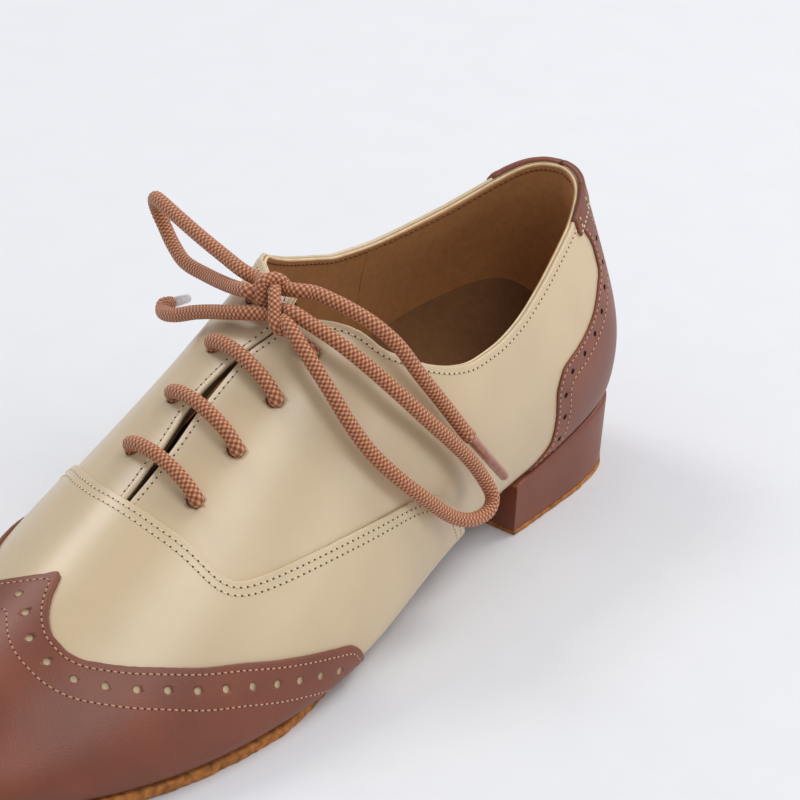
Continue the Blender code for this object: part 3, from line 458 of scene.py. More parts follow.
def distance_from(lines, field):
    """A signed true distance to lines, with the field's sign."""
    dots = np.vstack([resample(line, 0.4)[:, :3] for line in lines])

    seen = {}

    def value(P):
        if id(P) in seen:
            return seen[id(P)][1]
        near = np.full(len(P), 1e9)
        for i in range(0, len(P), 4000):
            gap = P[i:i + 4000, None, :] - dots[None, :, :]
            near[i:i + 4000] = np.sqrt((gap ** 2).sum(axis=2).min(axis=1))
        seen[id(P)] = (P, np.where(field(P) >= 0, near, -near))
        return seen[id(P)][1]

    return value


# ------------------------------------------------- fields over the surface
def angle_round(P):
    return np.degrees(np.arctan2(P[:, 1] - AXIS_W, P[:, 2] - AXIS_Z))


def below_top(P):
    lateral = P[:, 1] > 0
    height = np.where(lateral, through(TOP_LATERAL)(P[:, 0]), through(TOP_MEDIAL)(P[:, 0]))
    slope = np.where(P[:, 1] > THROAT_W, *FACING_SLOPE)
    ahead = P[:, 0] - THROAT_TOP + slope * np.abs(P[:, 1] - THROAT_W)
    return np.maximum(height - P[:, 2], ahead)


def off_gap(P):
    return P[:, 1] - through(GAP_LINE)(P[:, 0])


def beside_gap(P, sign):
    clear = sign * off_gap(P) - through(GAP_HALF)(P[:, 0])
    return np.where(P[:, 0] > THROAT_TOP - 25, clear, sign * P[:, 1] - 0.05)


def past_seam(P):
    front = P[:, 0] - through(SEAM_FRONT)(angle_round(P))
    low = through(SEAM_LOW)(P[:, 0]) - P[:, 2]
    return smooth_max(front, low, SEAM_ROUND)


def past_wing(P):
    return P[:, 0] - through(WING)(angle_round(P))


def behind_counter(P):
    return through(COUNTER)(P[:, 2]) - P[:, 0]


def under_collar(P):
    return through(TOP_LATERAL)(P[:, 0]) - COLLAR_DEPTH - P[:, 2]


def feather_loop():
    ring = np.array([column[1] for column in cage_columns()])
    return (np.roll(ring, 1, axis=0) + 4 * ring + np.roll(ring, -1, axis=0)) / 6


def feather_height(s):
    return through(feather_loop()[:len(STATIONS) + 4][:, (0, 2)])(s)


def above_feather(P):
    return P[:, 2] - feather_height(P[:, 0])


def collar_end(P):
    return np.where(P[:, 1] < 0, COLLAR_FRONT[1], COLLAR_FRONT[0]) - P[:, 0]


def feather_width(s, sign, inset):
    loop = feather_loop()
    fine = smooth_route(np.vstack([loop[-3:], loop, loop[:3]]), 1.0)
    along = np.gradient(fine, axis=0)
    inward = np.column_stack([along[:, 1], -along[:, 0]])
    moved = fine[:, :2] + inward * inset / np.linalg.norm(inward, axis=1)[:, None]
    middle = TOE_W * fine[:, 0] / loop[:, 0].max()
    moved = moved[sign * (fine[:, 1] - middle) > 0]
    order = np.argsort(moved[:, 0])
    return np.interp(s, moved[order, 0], moved[order, 1])


# ============================================================ shapes
def panel(name, base, field, layer, look, nodes, rim=0.45, body=BODY, shift=None):
    """A leather panel with rounded edges, between two offsets from the surface."""
    P, N, T = clip(base, lambda Q: field(Q) - rim)
    lift = shift(P)[:, None] if shift else 0.0
    flat = {}
    for t in T:
        for a, b in ((t[0], t[1]), (t[1], t[2]), (t[2], t[0])):
            flat[(a, b)] = 1
    edge = [(a, b) for a, b in flat if (b, a) not in flat]
    out = np.zeros_like(P)
    ends = np.array(edge)
    side = unit(np.cross(P[ends[:, 1]] - P[ends[:, 0]], N[ends[:, 0]]))
    np.add.at(out, ends[:, 0], side)
    np.add.at(out, ends[:, 1], side)
    out = unit(out)
    high, low = (level(P)[:, None] if callable(level) else level for level in layer)
    rings = [P + N * (high + lift),
             P + N * (high - 0.12 * rim + lift) + out * 0.45 * rim,
             P + N * (high - 0.45 * rim + lift) + out * 0.88 * rim,
             P + N * (high - rim + lift) + out * rim,
             P + N * (low + lift) + out * rim]
    rim_points = sorted(set(ends.ravel()))
    index = {v: i for i, v in enumerate(rim_points)}
    n, m = len(P), len(rim_points)
    points = [rings[0]] + [r[rim_points] for r in rings[1:]] + [P + N * (low + lift)]
    faces = [tuple(t) for t in T]

    def node(level, v):
        return v if level == 0 else n + (level - 1) * m + index[v]

    for a, b in edge:
        for k in range(4):
            faces.append((node(k, b), node(k, a), node(k + 1, a), node(k + 1, b)))
        faces.append((node(4, b), node(4, a), n + 4 * m + a, n + 4 * m + b))
    faces += [tuple(t[::-1] + n + 4 * m) for t in T]
    return add_piece(name, np.vstack(points), faces, look, nodes, angle=None, body=body)


def frames(line):
    """Tangent, normal and side at each row of a line of point and normal."""
    tangent = unit(np.gradient(line[:, :3], axis=0))
    normal = line[:, 3:6]
    side = unit(np.cross(tangent, normal))
    return tangent, unit(np.cross(side, tangent)), side


STITCHES = {}


def stitch_row(kind, line, height, pitch=2.0, size=0.27, share=0.68, sink=0.1):
    """Add a row of stitches along a line, to be made with the others of its kind."""
    line = relax(resample(line, 1.0), 4)
    along = lengths(line)
    tangent, normal, side = frames(line)
    if callable(height):
        height = height(line[:, :3])[:, None]
    rows = np.column_stack([line[:, :3] + normal * (height - sink), tangent, normal, side])
    store = STITCHES.setdefault(kind, ([], []))
    count = int(along[-1] / pitch)
    # needle holes: flat dark discs between the stitches, painted shade in the holes
    needle_shade_marks = STITCHES.setdefault("needle_hole_shade_brown" if kind == "thread_brown" else "needle_hole_shade", ([], []))
    for at in np.arange(2 * count) * 0.5 * along[-1] / max(count, 1):
        r = np.array([np.interp(at, along, rows[:, k]) for k in range(12)])
        centre, t, n, w = r[:3], r[3:6], r[6:9], r[9:12]
        if round(at / along[-1] * 2 * count) % 2 == 0:
            first = len(needle_shade_marks[0])
            for radius, lift in ((0.32, sink + 0.02), (0.22, sink + 0.05)):
                for k in range(8):
                    a = math.pi * k / 4
                    needle_shade_marks[0].append(centre + n * lift + radius * (math.cos(a) * t + math.sin(a) * w))
            quads, ends = tube_faces(2, 8, first)
            needle_shade_marks[1].extend(quads + ends[1:])
            continue
        first = len(store[0])
        half = pitch * share / 2
        for u, fat in ((-1.0, 0.25), (-0.8, 0.8), (0.0, 1.0), (0.8, 0.8), (1.0, 0.25)):
            sag = size * 0.6 * (1 - u * u)
            for k in range(6):
                a = math.pi * k / 3
                store[0].append(centre + t * half * u + n * (sag + math.sin(a) * size * fat * 0.8)
                                + w * math.cos(a) * size * fat)
        quads, ends = tube_faces(5, 6, first)
        store[1].extend(quads + ends)


def groove_shade(name, line, height, width, look):
    """A thin line of painted shade under a row of stitches, darker than the leather round it."""
    line = relax(resample(line, 1.0), 4)
    _, normal, side = frames(line)
    points, faces = [], []
    for p, n, w in zip(line[:, :3], normal, side):
        points += [p + n * height - w * width / 2, p + n * (height + 0.03), p + n * height + w * width / 2]
    for i in range(len(line) - 1):
        for k in (3 * i, 3 * i + 1):
            faces.append((k, k + 3, k + 4, k + 1))
    add_piece(name, points, faces, look, angle=None)


def sweep(name, centre, radius, look, sides=20, braid=False, nodes=()):
    """A tube along a line of points, with braid relief and a UV map for its pattern."""
    centre = np.asarray(centre, float)
    tangent = unit(np.gradient(centre, axis=0))
    side = unit(np.cross(tangent[0], (0.3, 0.2, 1.0)))
    along = lengths(centre)
    turn = np.arange(sides) * 2 * math.pi / sides
    points = []
    for i, (c, t) in enumerate(zip(centre, tangent)):
        side = unit(side - t * side.dot(t))
        up = np.cross(t, side)
        r = np.full(sides, float(np.interp(i, *radius)) if isinstance(radius, tuple) else radius)
        if braid:
            crossing = np.cos(2 * math.pi * along[i] / BRAID_PITCH) * np.cos(BRAID_FOLD * turn)
            r = r * (0.975 + 0.045 * crossing)
        points += [c + q * (math.cos(a) * side + math.sin(a) * up) for a, q in zip(turn, r)]
    quads, ends = tube_faces(len(centre), sides)
    uvs = []
    for u0, u1 in zip(along, along[1:]):
        for k in range(sides):
            v0, v1 = k / sides, (k + 1) / sides
            uvs += [(u0, v0), (u0, v1), (u1, v1), (u1, v0)]
    uvs += [(0, 0)] * sides + [(along[-1], 0)] * sides
    piece = add_piece(name, points, quads + ends, look, nodes, angle=50)
    layer = piece.data.uv_layers.new(name="braid")
    layer.data.foreach_set("uv", np.array(uvs, float).ravel())
    return piece


def loft(name, rings, look, nodes=(), angle=35):
    """A closed body through equal rings of points."""
    quads, ends = tube_faces(len(rings), len(rings[0]))
    points = [p for ring in rings for p in ring]
    piece = add_piece(name, points, ends + quads, look, nodes, angle)
    shape = bmesh.new()
    shape.from_mesh(piece.data)
    if shape.calc_volume(signed=True) < 0:
        bmesh.ops.reverse_faces(shape, faces=shape.faces)
        shape.to_mesh(piece.data)
    shape.free()
    piece.data.shade_smooth()
    piece.data.set_sharp_from_angle(angle=math.radians(angle))
    return piece


# =============================================================== materials
def new_look(name, colour, roughness, metallic=0.0):
    """A material and its nodes, links and main shader."""
    look = bpy.data.materials.new(name)
    look.use_nodes = True
    nodes, links = look.node_tree.nodes, look.node_tree.links
    shader = nodes["Principled BSDF"]
    shader.inputs["Base Color"].default_value = (*colour, 1)
    shader.inputs["Roughness"].default_value = roughness
    shader.inputs["Metallic"].default_value = metallic
    return look, nodes, links, shader


def noise(nodes, links, scale, detail=3.0, kind="ShaderNodeTexNoise"):
    at = nodes.new("ShaderNodeTexCoord")
    made = nodes.new(kind)
    made.inputs["Scale"].default_value = scale
    if "Detail" in made.inputs:
        made.inputs["Detail"].default_value = detail
    links.new(at.outputs["Object"], made.inputs["Vector"])
    return made


def blend_colour(nodes, links, factor, dark, light, shader, low=0.35, high=0.65):
    """Base colour that runs from dark to light with a factor."""
    ramp = nodes.new("ShaderNodeValToRGB")
    ramp.color_ramp.elements[0].position = low
    ramp.color_ramp.elements[1].position = high
    ramp.color_ramp.elements[0].color = (*dark, 1)
    ramp.color_ramp.elements[1].color = (*light, 1)
    links.new(factor, ramp.inputs["Fac"])
    links.new(ramp.outputs["Color"], shader.inputs["Base Color"])


def mottle(nodes, links, source, colour, vary, shader, low=0.35, high=0.65):
    """Base colour that strays a little to both sides with a noise."""
    ends = shade(colour, 1 - vary), shade(colour, 1 + vary)
    blend_colour(nodes, links, source.outputs["Fac"], *ends, shader, low, high)


def add_bump(nodes, links, heights, shader):
    """Chain bumps; each is a height output, its strength and its depth in mm."""
    last = None
    for height, strength, depth in heights:
        bump = nodes.new("ShaderNodeBump")
        bump.inputs["Strength"].default_value = strength
        bump.inputs["Distance"].default_value = depth * MM
        links.new(height, bump.inputs["Height"])
        if last:
            links.new(last.outputs["Normal"], bump.inputs["Normal"])
        last = bump
    links.new(last.outputs["Normal"], shader.inputs["Normal"])


def shade(colour, by):
    return tuple(min(1.0, c * by) for c in colour)


def leather(name, colour, roughness, grain, depth, coat=0.0, vary=0.06):
    """Smooth leather: faint mottling, fine pebbled grain and soft undulation."""
    look, nodes, links, shader = new_look(name, colour, roughness)
    mottle(nodes, links, noise(nodes, links, 45.0, 4.0), colour, vary, shader)
    cells = noise(nodes, links, grain, kind="ShaderNodeTexVoronoi")
    fine = noise(nodes, links, grain * 2.2, 2.0)
    slow = noise(nodes, links, 70.0, 1.0)
    add_bump(nodes, links, ((slow.outputs["Fac"], 0.35, 0.25), (cells.outputs["Distance"], depth, 0.06),
                            (fine.outputs["Fac"], depth * 0.6, 0.04)), shader)
    shader.inputs["Coat Weight"].default_value = coat
    shader.inputs["Coat Roughness"].default_value = 0.3
    shader.inputs["IOR"].default_value = 1.48
    return look


def suede(name, colour, vary=0.1, depth=0.8, scale=900.0):
    """Napped leather: soft blotches, short fibres and a dusty sheen."""
    look, nodes, links, shader = new_look(name, colour, 0.95)
    mottle(nodes, links, noise(nodes, links, 420.0, 5.0), colour, vary, shader, 0.3, 0.7)
    nap = noise(nodes, links, scale, 6.0)
    soft = noise(nodes, links, scale / 4, 3.0)
    heights = (soft.outputs["Fac"], depth * 0.5, 0.2), (nap.outputs["Fac"], depth, 0.12)
    add_bump(nodes, links, heights, shader)
    shader.inputs["Sheen Weight"].default_value = 0.35
    shader.inputs["Sheen Roughness"].default_value = 0.6
    shader.inputs["Sheen Tint"].default_value = (*shade(colour, 1.7), 1)
    return look


def braid_look(name):
    """Round braid: the cord's orange-brown, with painted highlight on the crowns and painted shade in the
    valleys, on a diamond lattice by the tube's UV map.
    """
    look, nodes, links, shader = new_look(name, CORD_LIT_CROWN, 0.55)
    uv = nodes.new("ShaderNodeUVMap")
    uv.uv_map = "braid"
    split = nodes.new("ShaderNodeSeparateXYZ")
    links.new(uv.outputs["UV"], split.inputs[0])

    def wave(source, factor):
        scaled = nodes.new("ShaderNodeMath")
        scaled.operation = "MULTIPLY"
        scaled.inputs[1].default_value = factor
        links.new(source, scaled.inputs[0])
        made = nodes.new("ShaderNodeMath")
        made.operation = "COSINE"
        links.new(scaled.outputs[0], made.inputs[0])
        return made.outputs[0]

    along = wave(split.outputs["X"], 2 * math.pi / BRAID_PITCH)
    around = wave(split.outputs["Y"], 2 * math.pi * BRAID_FOLD)
    product = nodes.new("ShaderNodeMath")
    product.operation = "MULTIPLY"
    links.new(along, product.inputs[0])
    links.new(around, product.inputs[1])
    grade = nodes.new("ShaderNodeMapRange")
    grade.inputs["From Min"].default_value = -1.0
    links.new(product.outputs[0], grade.inputs["Value"])
    # colour follows the braid's relief: painted shade in the valleys, painted highlight on the crowns
    blend_colour(nodes, links, grade.outputs["Result"], CORD_SHADED_VALLEY, CORD_LIT_CROWN, shader, 0.3, 1.0)
    fibre = noise(nodes, links, 1500.0, 2.0)
    add_bump(nodes, links, ((grade.outputs["Result"], 0.8, 0.25), (fibre.outputs["Fac"], 0.3, 0.05)), shader)
    shader.inputs["Sheen Weight"].default_value = 0.2
    return look


def plain(name, colour, roughness, metallic=0.0, scale=300.0, depth=0.3, vary=0.1):
    """A simple surface with fine variation, for hidden and small parts."""
    look, nodes, links, shader = new_look(name, colour, roughness, metallic)
    grainy = noise(nodes, links, scale, 4.0)
    mottle(nodes, links, grainy, colour, vary, shader)
    add_bump(nodes, links, ((grainy.outputs["Fac"], depth, 0.1),), shader)
    return look


def glossy(name, colour, roughness, scale, ends, gloss):
    """Shiny plastic film, mottled between two colours."""
    look, nodes, links, shader = new_look(name, colour, roughness)
    film = noise(nodes, links, scale, 2.0)
    blend_colour(nodes, links, film.outputs["Fac"], *ends, shader)
    for socket, value in gloss.items():
        shader.inputs[socket].default_value = value
    return look


def make_looks():
    looks = {
        "tan": leather("tan_leather", TAN, 0.33, 2600.0, 0.10, coat=0.25, vary=0.03),
        "brown": leather("brown_leather", BROWN, 0.44, 1500.0, 0.45, coat=0.08, vary=0.12),
        "suede": suede("lining_suede", SUEDE),
        "sock": suede("sock_suede", shade(SUEDE, 0.38)),
        # tongue and facing stays: lining suede darkened to near black, painted shade for the deep gap
        # between the facings
        "tongue": suede("tongue_suede_painted_shade", shade(SUEDE, 0.15)),
        "raw_edge": plain("lining_edge", shade(TAN, 1.15), 0.7),
        "thread_lining": plain("thread_lining", (0.22, 0.075, 0.03), 0.7, scale=2500.0),
        "edge": suede("sole_suede", EDGE, vary=0.5, depth=1.0, scale=1100.0),
        # stitch lines and eyelet holes: tan darkened as painted shade
        "groove_shade": plain("stitch_groove_painted_shade", shade(TAN, 0.62), 0.9),
        # needle holes on tan and on brown: darkened discs, painted shade in the holes
        "needle_hole_shade": plain("needle_hole_painted_shade", (0.060, 0.034, 0.020), 0.95),
        "needle_hole_shade_brown": plain("needle_hole_brown_painted_shade", shade(BROWN, 0.4), 0.9),
        # stitch lines on brown: brown darkened as painted shade
        "groove_shade_brown": plain("stitch_groove_brown_painted_shade", shade(BROWN, 0.6), 0.9),
        "thread": plain("thread", THREAD, 0.6, scale=2500.0),
        "thread_brown": plain("thread_brown", THREAD_BROWN, 0.6, scale=2500.0),
        "braid": braid_look("lace_braid"),
        # cap holes: the vamp's tan beneath, darkened a little as painted shade in the holes
        "punch": plain("punched_hole_shaded_tan", shade(TAN, 0.85), 0.8),
        # counter holes: brown darkened to near black, painted shade inside the holes
        "punch_dark_shade": plain("punched_hole_dark_painted_shade", shade(BROWN, 0.3), 0.9),
        "board": plain("fibre_board", (0.30, 0.22, 0.14), 0.9),
        "cork": plain("cork", (0.35, 0.20, 0.10), 0.95, scale=700.0, vary=0.5),
        "foam": plain("foam", (0.75, 0.70, 0.55), 0.9),
        "cloth": plain("stiffener_cloth", (0.60, 0.56, 0.48), 0.9, scale=1500.0),
        "wood": plain("heel_wood", (0.45, 0.28, 0.14), 0.7, scale=200.0, vary=0.3),
        "steel": plain("steel", (0.55, 0.55, 0.57), 0.35, 1.0, scale=900.0),
    }
    looks["aglet"] = glossy("aglet_film", (0.36, 0.12, 0.05), 0.2, 500.0,
                            ((0.26, 0.07, 0.03), (0.38, 0.13, 0.06)),
                            {"Coat Weight": 0.6, "Coat Roughness": 0.05})
    looks["aglet_clear"] = glossy("aglet_clear", (0.62, 0.52, 0.50), 0.12, 600.0,
                                  ((0.30, 0.23, 0.21), (0.58, 0.49, 0.47)),
                                  {"Coat Weight": 1.0, "Transmission Weight": 0.25})
    return looks


# ==================================================================== stage
def aim(obj, at, target):
    obj.location = at
    obj.rotation_euler = (Vector(target) - Vector(at)).to_track_quat("-Z", "Y").to_euler()


def make_stage():
    """Camera, pale floor, soft lights and an even pale world."""
    az, el, far = math.radians(CAMERA[0]), math.radians(CAMERA[1]), CAMERA[2]
    target = Vector(place(CAMERA_AT)[0])
    back = Vector((math.sin(az) * math.cos(el), -math.cos(az) * math.cos(el), math.sin(el)))
    data = bpy.data.cameras.new("camera")
    data.sensor_width = 36.0
    data.lens = FOCUS
    data.clip_end = 20.0
    camera = add_object("camera", data)
    aim(camera, target + back * far, target)
    bpy.context.scene.camera = camera

    bpy.context.scene.view_settings.view_transform = "Standard"
    mesh = bpy.data.meshes.new("floor")
    corners = ((-1, -1), (1, -1), (1, 1), (-1, 1))
    mesh.from_pydata([(FLOOR * x, FLOOR * y, 0) for x, y in corners], [], [(0, 1, 2, 3)])
    look, nodes, links, shader = new_look("floor_paper", (0.80, 0.82, 0.85), 0.9)
    grain = noise(nodes, links, 60.0, 2.0)
    blend_colour(nodes, links, grain.outputs["Fac"], (0.700, 0.705, 0.720), (0.710, 0.715, 0.730), shader)
    mesh.materials.append(look)
    floor = add_object("floor", mesh)

    world = bpy.data.worlds.new("studio")
    bpy.context.scene.world = world
    world.use_nodes = True
    sky = world.node_tree.nodes["Background"]
    sky.inputs["Color"].default_value = (0.90, 0.93, 1.0, 1)
    sky.inputs["Strength"].default_value = 0.62
    for name, at, size, power, tint in (
            ("key", (0.35, 1.15, 1.5), 0.7, 12.0, (1.0, 0.98, 0.96)),
            ("left", (-0.95, 0.0, 1.35), 0.5, 6.0, (1.0, 0.99, 0.97)),
            ("right", (0.95, 0.0, 1.4), 0.6, 6.0, (1.0, 0.99, 0.98)),
            ("back", (1.3, 0.8, 0.6), 0.6, 3.0, (0.97, 0.98, 1.0))):
        lamp = bpy.data.lights.new(name, "AREA")
        lamp.size = size
        lamp.energy = power
        lamp.color = tint
        aim(add_object(name, lamp), at, (0, 0, 0.04))


# ===================================================================== lace
class Surface:
    def __init__(self, base):
        self.tree = BVHTree.FromPolygons(base[0].tolist(), base[2].tolist())

    def above(self, s, w, height):
        hit, normal, _, _ = self.tree.ray_cast(Vector((s, w, 200)), Vector((0, 0, -1)))
        return np.array(hit + normal * height), np.array(normal)

    def across(self, s, sign, z):
        """The half width at a station and height, or zero beyond the surface."""
        hit = self.tree.ray_cast(Vector((s, 0, z)), Vector((0, sign, 0)))[0]
        return abs(hit.y) if hit else 0.0


def laced_route(surface):
    """The lace's run through the facings, as in the CAD model."""
    lateral, medial = [[(s, EYELET_W[side]) for s in EYELET_S[side]] for side in (0, 1)]

    def between(a, b, shift, steps):
        return [surface.above(a[0] + (b[0] - a[0]) * t, a[1] + (b[1] - a[1]) * t + shift, h)[0]
                for t, h in steps]

    def over(a, b):
        return between(a, b, 0, ((0.2, 3.3), (0.5, 3.9), (0.8, 3.3)))

    def under(a, b, shift):
        return between(a, b, shift * 0.8, ((0.3, -6.2), (0.7, -6.2)))

    def hole(a, down):
        heights = (1.4, -1.8, -5.0) if down else (-5.0, -1.8, 1.4)
        return [surface.above(a[0], a[1], h)[0] for h in heights]

    start = [surface.above(130.6, -8.4, 2.3)[0], surface.above(129.8, -11.2, 2.1)[0]]
    finish = [surface.above(135.0, 11.6, 1.9)[0], surface.above(135.6, 8.3, 1.9)[0]]
    return (start + hole(medial[3], True) + under(medial[3], medial[2], 0) + hole(medial[2], False)
            + over(medial[2], lateral[2]) + hole(lateral[2], True) + under(lateral[2], lateral[0], -6)
            + hole(lateral[0], False) + over(lateral[0], medial[0]) + hole(medial[0], True)
            + under(medial[0], medial[1], 0) + hole(medial[1], False) + over(medial[1], lateral[1])
            + hole(lateral[1], True) + under(lateral[1], lateral[3], 6) + hole(lateral[3], False)
            + finish)


def with_aglet(route, ends):
    a, b = (np.array(p) for p in ends)
    axis = (b - a) / np.linalg.norm(b - a)
    return list(route) + [a - axis * 5.0, a - axis * 2.5, a - axis * 0.3]


def make_aglet(name, ends, look):
    a, b = (np.array(p) for p in ends)
    steps = np.array([-0.02, 0.0, 0.03, 0.5, 0.93, 0.97, 0.99, 1.0])
    fat = np.array([0.9, 0.99, 1.0, 0.95, 0.93, 0.86, 0.7, 0.45]) * AGLET_R
    line = a + (b - a) * steps[:, None]
    return sweep(name, line, (np.arange(len(steps)), fat), look, sides=24, nodes=(name,))


def make_lace(surface, looks):
    """The lace in its parts: braided tubes for the cord and knot, and the two aglets."""
    braid = looks["braid"]
    arch = sweep("knot_arch", smooth_route(KNOT_ARCH, 0.3), CORD * 0.44, braid, 28, True, ("lace_knot",))
    wrap = sweep("knot_wrap", smooth_route(KNOT_WRAP, 0.3), CORD * 0.44, braid, 28, True)
    tips = {"lace_end_left": make_aglet("aglet_left", AGLET_LEFT, looks["aglet_clear"]),
            "lace_end_right": make_aglet("aglet_right", AGLET_RIGHT, looks["aglet"])}
    routes = {"lace_through_eyelets": laced_route(surface), "lace_loop_left": LOOP_LEFT,
              "lace_loop_right": LOOP_RIGHT, "lace_end_left": with_aglet(END_LEFT, AGLET_LEFT),
              "lace_end_right": with_aglet(END_RIGHT, AGLET_RIGHT)}
    for name, route in routes.items():
        line = smooth_route(route, 0.3)
        piece = sweep(name + "_braid", line, CORD / 2, braid, 28, True, (name,))


# ==================================================================== upper
def punch(piece, holes, radius, depth, look):
    """Sink round pits into a piece at rows of point and normal."""
    points, faces = [], []
    for row in holes:
        p, n = row[:3], unit(row[3:6])
        across = unit(np.cross(n, (0.2, 1.0, 0.1)))
        along = np.cross(n, across)
        first = len(points)
        for h in (1.0, -depth):
            for k in range(14):
                a = 2 * math.pi * k / 14
                points.append(p + n * h + radius * (math.cos(a) * across + math.sin(a) * along))
        quads, ends = tube_faces(2, 14, first)
        faces += quads + ends
    mesh = bpy.data.meshes.new("cutter")
    mesh.from_pydata(place(points).tolist(), [], faces)
    mesh.materials.append(look)
    shape = bmesh.new()
    shape.from_mesh(mesh)
    bmesh.ops.recalc_face_normals(shape, faces=shape.faces)
    shape.to_mesh(mesh)
    shape.free()
    tool = add_object("cutter", mesh)
    cut = piece.modifiers.new("cut", "BOOLEAN")
    cut.object = tool
    cut.solver = "EXACT"
    cut.operation = "DIFFERENCE"
    cut.material_mode = "TRANSFER"
    done = bpy.data.meshes.new_from_object(piece.evaluated_get(bpy.context.evaluated_depsgraph_get()))
    piece.modifiers.clear()
    piece.data = done
    bpy.data.objects.remove(tool)


def spaced(line, pitch, start=0.0):
    """Rows of point and normal at a pitch along a line."""
    line = relax(resample(line, 1.0), 4)
    along = lengths(line)
    at = np.arange(start, along[-1], pitch)
    return np.column_stack([np.interp(at, along, line[:, k]) for k in range(6)])


def punch_row(piece, lines, pitch, start, height, radius, depth, look):
    """Punch round holes at a pitch along lines."""
    rows = np.vstack([spaced(line, pitch, start) for line in lines])
    rows[:, :3] += rows[:, 3:6] * height
    punch(piece, rows, radius, depth, look)


class Edges:
    """The surface cut along the top edge, and true distances from the edge and the seams."""

    def __init__(self, base):
        self.base = base
        self.whole = clip(base, lambda P: below_top(P) + 2.0)
        self.topped = clip(base, below_top)
        self.top = distance_from(contours(base, below_top)[:1], below_top)
        self.seam = distance_from(contours(self.whole, past_seam)[:1], past_seam)
        self.wing = distance_from(contours(self.whole, past_wing)[:1], past_wing)
        self.counter = distance_from(contours(self.whole, behind_counter)[:2], behind_counter)


def lines_at(skin, field, level, count=1):
    """The longest lines on the skin where the field has the level."""
    return contours(skin, lambda P: field(P) - level)[:count]


def seam_row(name, line, height, width, kind, looks, pitch=2.0, lift=0.0):
    """A row of stitches over a line of painted shade; kind is the ending of the colours' names."""
    stitch_row("thread" + kind, line, height + lift, pitch=pitch)
    groove_shade(name, line, height, width, looks["groove_shade" + kind])


def make_panels(edges, surface, looks):
    """The leather panels; returns the two that get punched."""
    top, seam, wing, counter = edges.top, edges.seam, edges.wing, edges.counter
    panel("vamp_leather", edges.whole, lambda P: np.minimum(seam(P), 9.0 - wing(P)),
          VAMP_LAYER, looks["tan"], ("vamp",), rim=0.3)
    cap = panel("wing_cap_leather", edges.whole, lambda P: np.minimum(wing(P), above_feather(P) + 2.0),
                CAP_LAYER, looks["brown"], ("wing_cap",), rim=0.4)
    for side, name in enumerate(SIDES):
        field = lambda P: np.minimum.reduce([top(P), UNDERLAP - seam(P), beside_gap(P, 1 - 2 * side)])
        quarter = panel("quarter_leather_" + name, edges.base, field, QUARTER_LAYER, looks["tan"],
                        ("quarter_" + name,))
        holes = [np.concatenate(surface.above(s, EYELET_W[side], QUARTER_LAYER[0])) for s in EYELET_S[side]]
        # the eyelet pits take the darkened tan, painted shade inside the holes
        punch(quarter, holes, EYELET_R, 3.0, looks["groove_shade"])
    field = lambda P: np.minimum.reduce([counter(P), above_feather(P) + 2.0, under_collar(P), top(P)])
    heel = panel("counter_leather", edges.base, field, COUNTER_LAYER, looks["brown"],
                 ("heel_counter",), rim=0.3)
    field = lambda P: np.minimum.reduce([collar_end(P), -under_collar(P), top(P) + 0.5])
    inside = lambda P: np.where(top(P) < 1.4, -1.6, -0.5)
    panel("collar_leather", edges.base, field, (COLLAR_TOP, inside), looks["brown"],
          ("collar_band",), rim=0.35)
    return cap, heel


def make_linings(edges, looks):
    """The linings of the quarters and vamp, the heel grip, and the raw edge and stitches along them."""
    top = edges.top
    for side, name in enumerate(SIDES):
        field = lambda P: np.minimum.reduce([top(P) - np.where(P[:, 0] < GRIP_FRONT, 6.0, 0.3),
                                             196 - P[:, 0], beside_gap(P, 1 - 2 * side) - 1.2])
        panel("lining_suede_" + name, edges.base, field, LINING_LAYER, looks["suede"],
              ("quarter_lining_" + name,), rim=0.3)
    panel("lining_suede_front", edges.whole, lambda P: P[:, 0] - 193.0, (-2.0, -2.9), looks["suede"],
          ("vamp_lining",), rim=0.4)
    grip = lambda P: np.minimum.reduce([top(P) - 0.3, GRIP_FRONT + 6 - P[:, 0], above_feather(P) - 6.0])
    outer = lambda P: np.where((top(P) < 5.0) & (P[:, 0] < GRIP_FRONT), -1.7, -2.92)
    merge = lambda P: np.clip((GRIP_FRONT - P[:, 0]) / 20.0, 0, 1)
    inner = lambda P: -3.0 - merge(P) * np.interp(top(P), [0, 10], [0.25, 1.15])
    panel("heel_grip_suede", edges.base, grip, (outer, inner), looks["suede"],
          ("heel_grip_lining",), rim=0.05)
    bead = relax(resample(lines_at(edges.base, top, 0.35)[0], 1.0), 6)
    sweep("lining_edge_0", bead[:, :3] - bead[:, 3:6] * 2.35, 0.45, looks["raw_edge"], 8)
    row = lines_at(edges.topped, top, 1.6)[0]
    row[:, 3:6] *= -1
    height = lambda P: np.where(P[:, 0] < GRIP_FRONT, 0.03 - inner(P), 2.95)
    stitch_row("thread_lining", row, height, pitch=1.9)


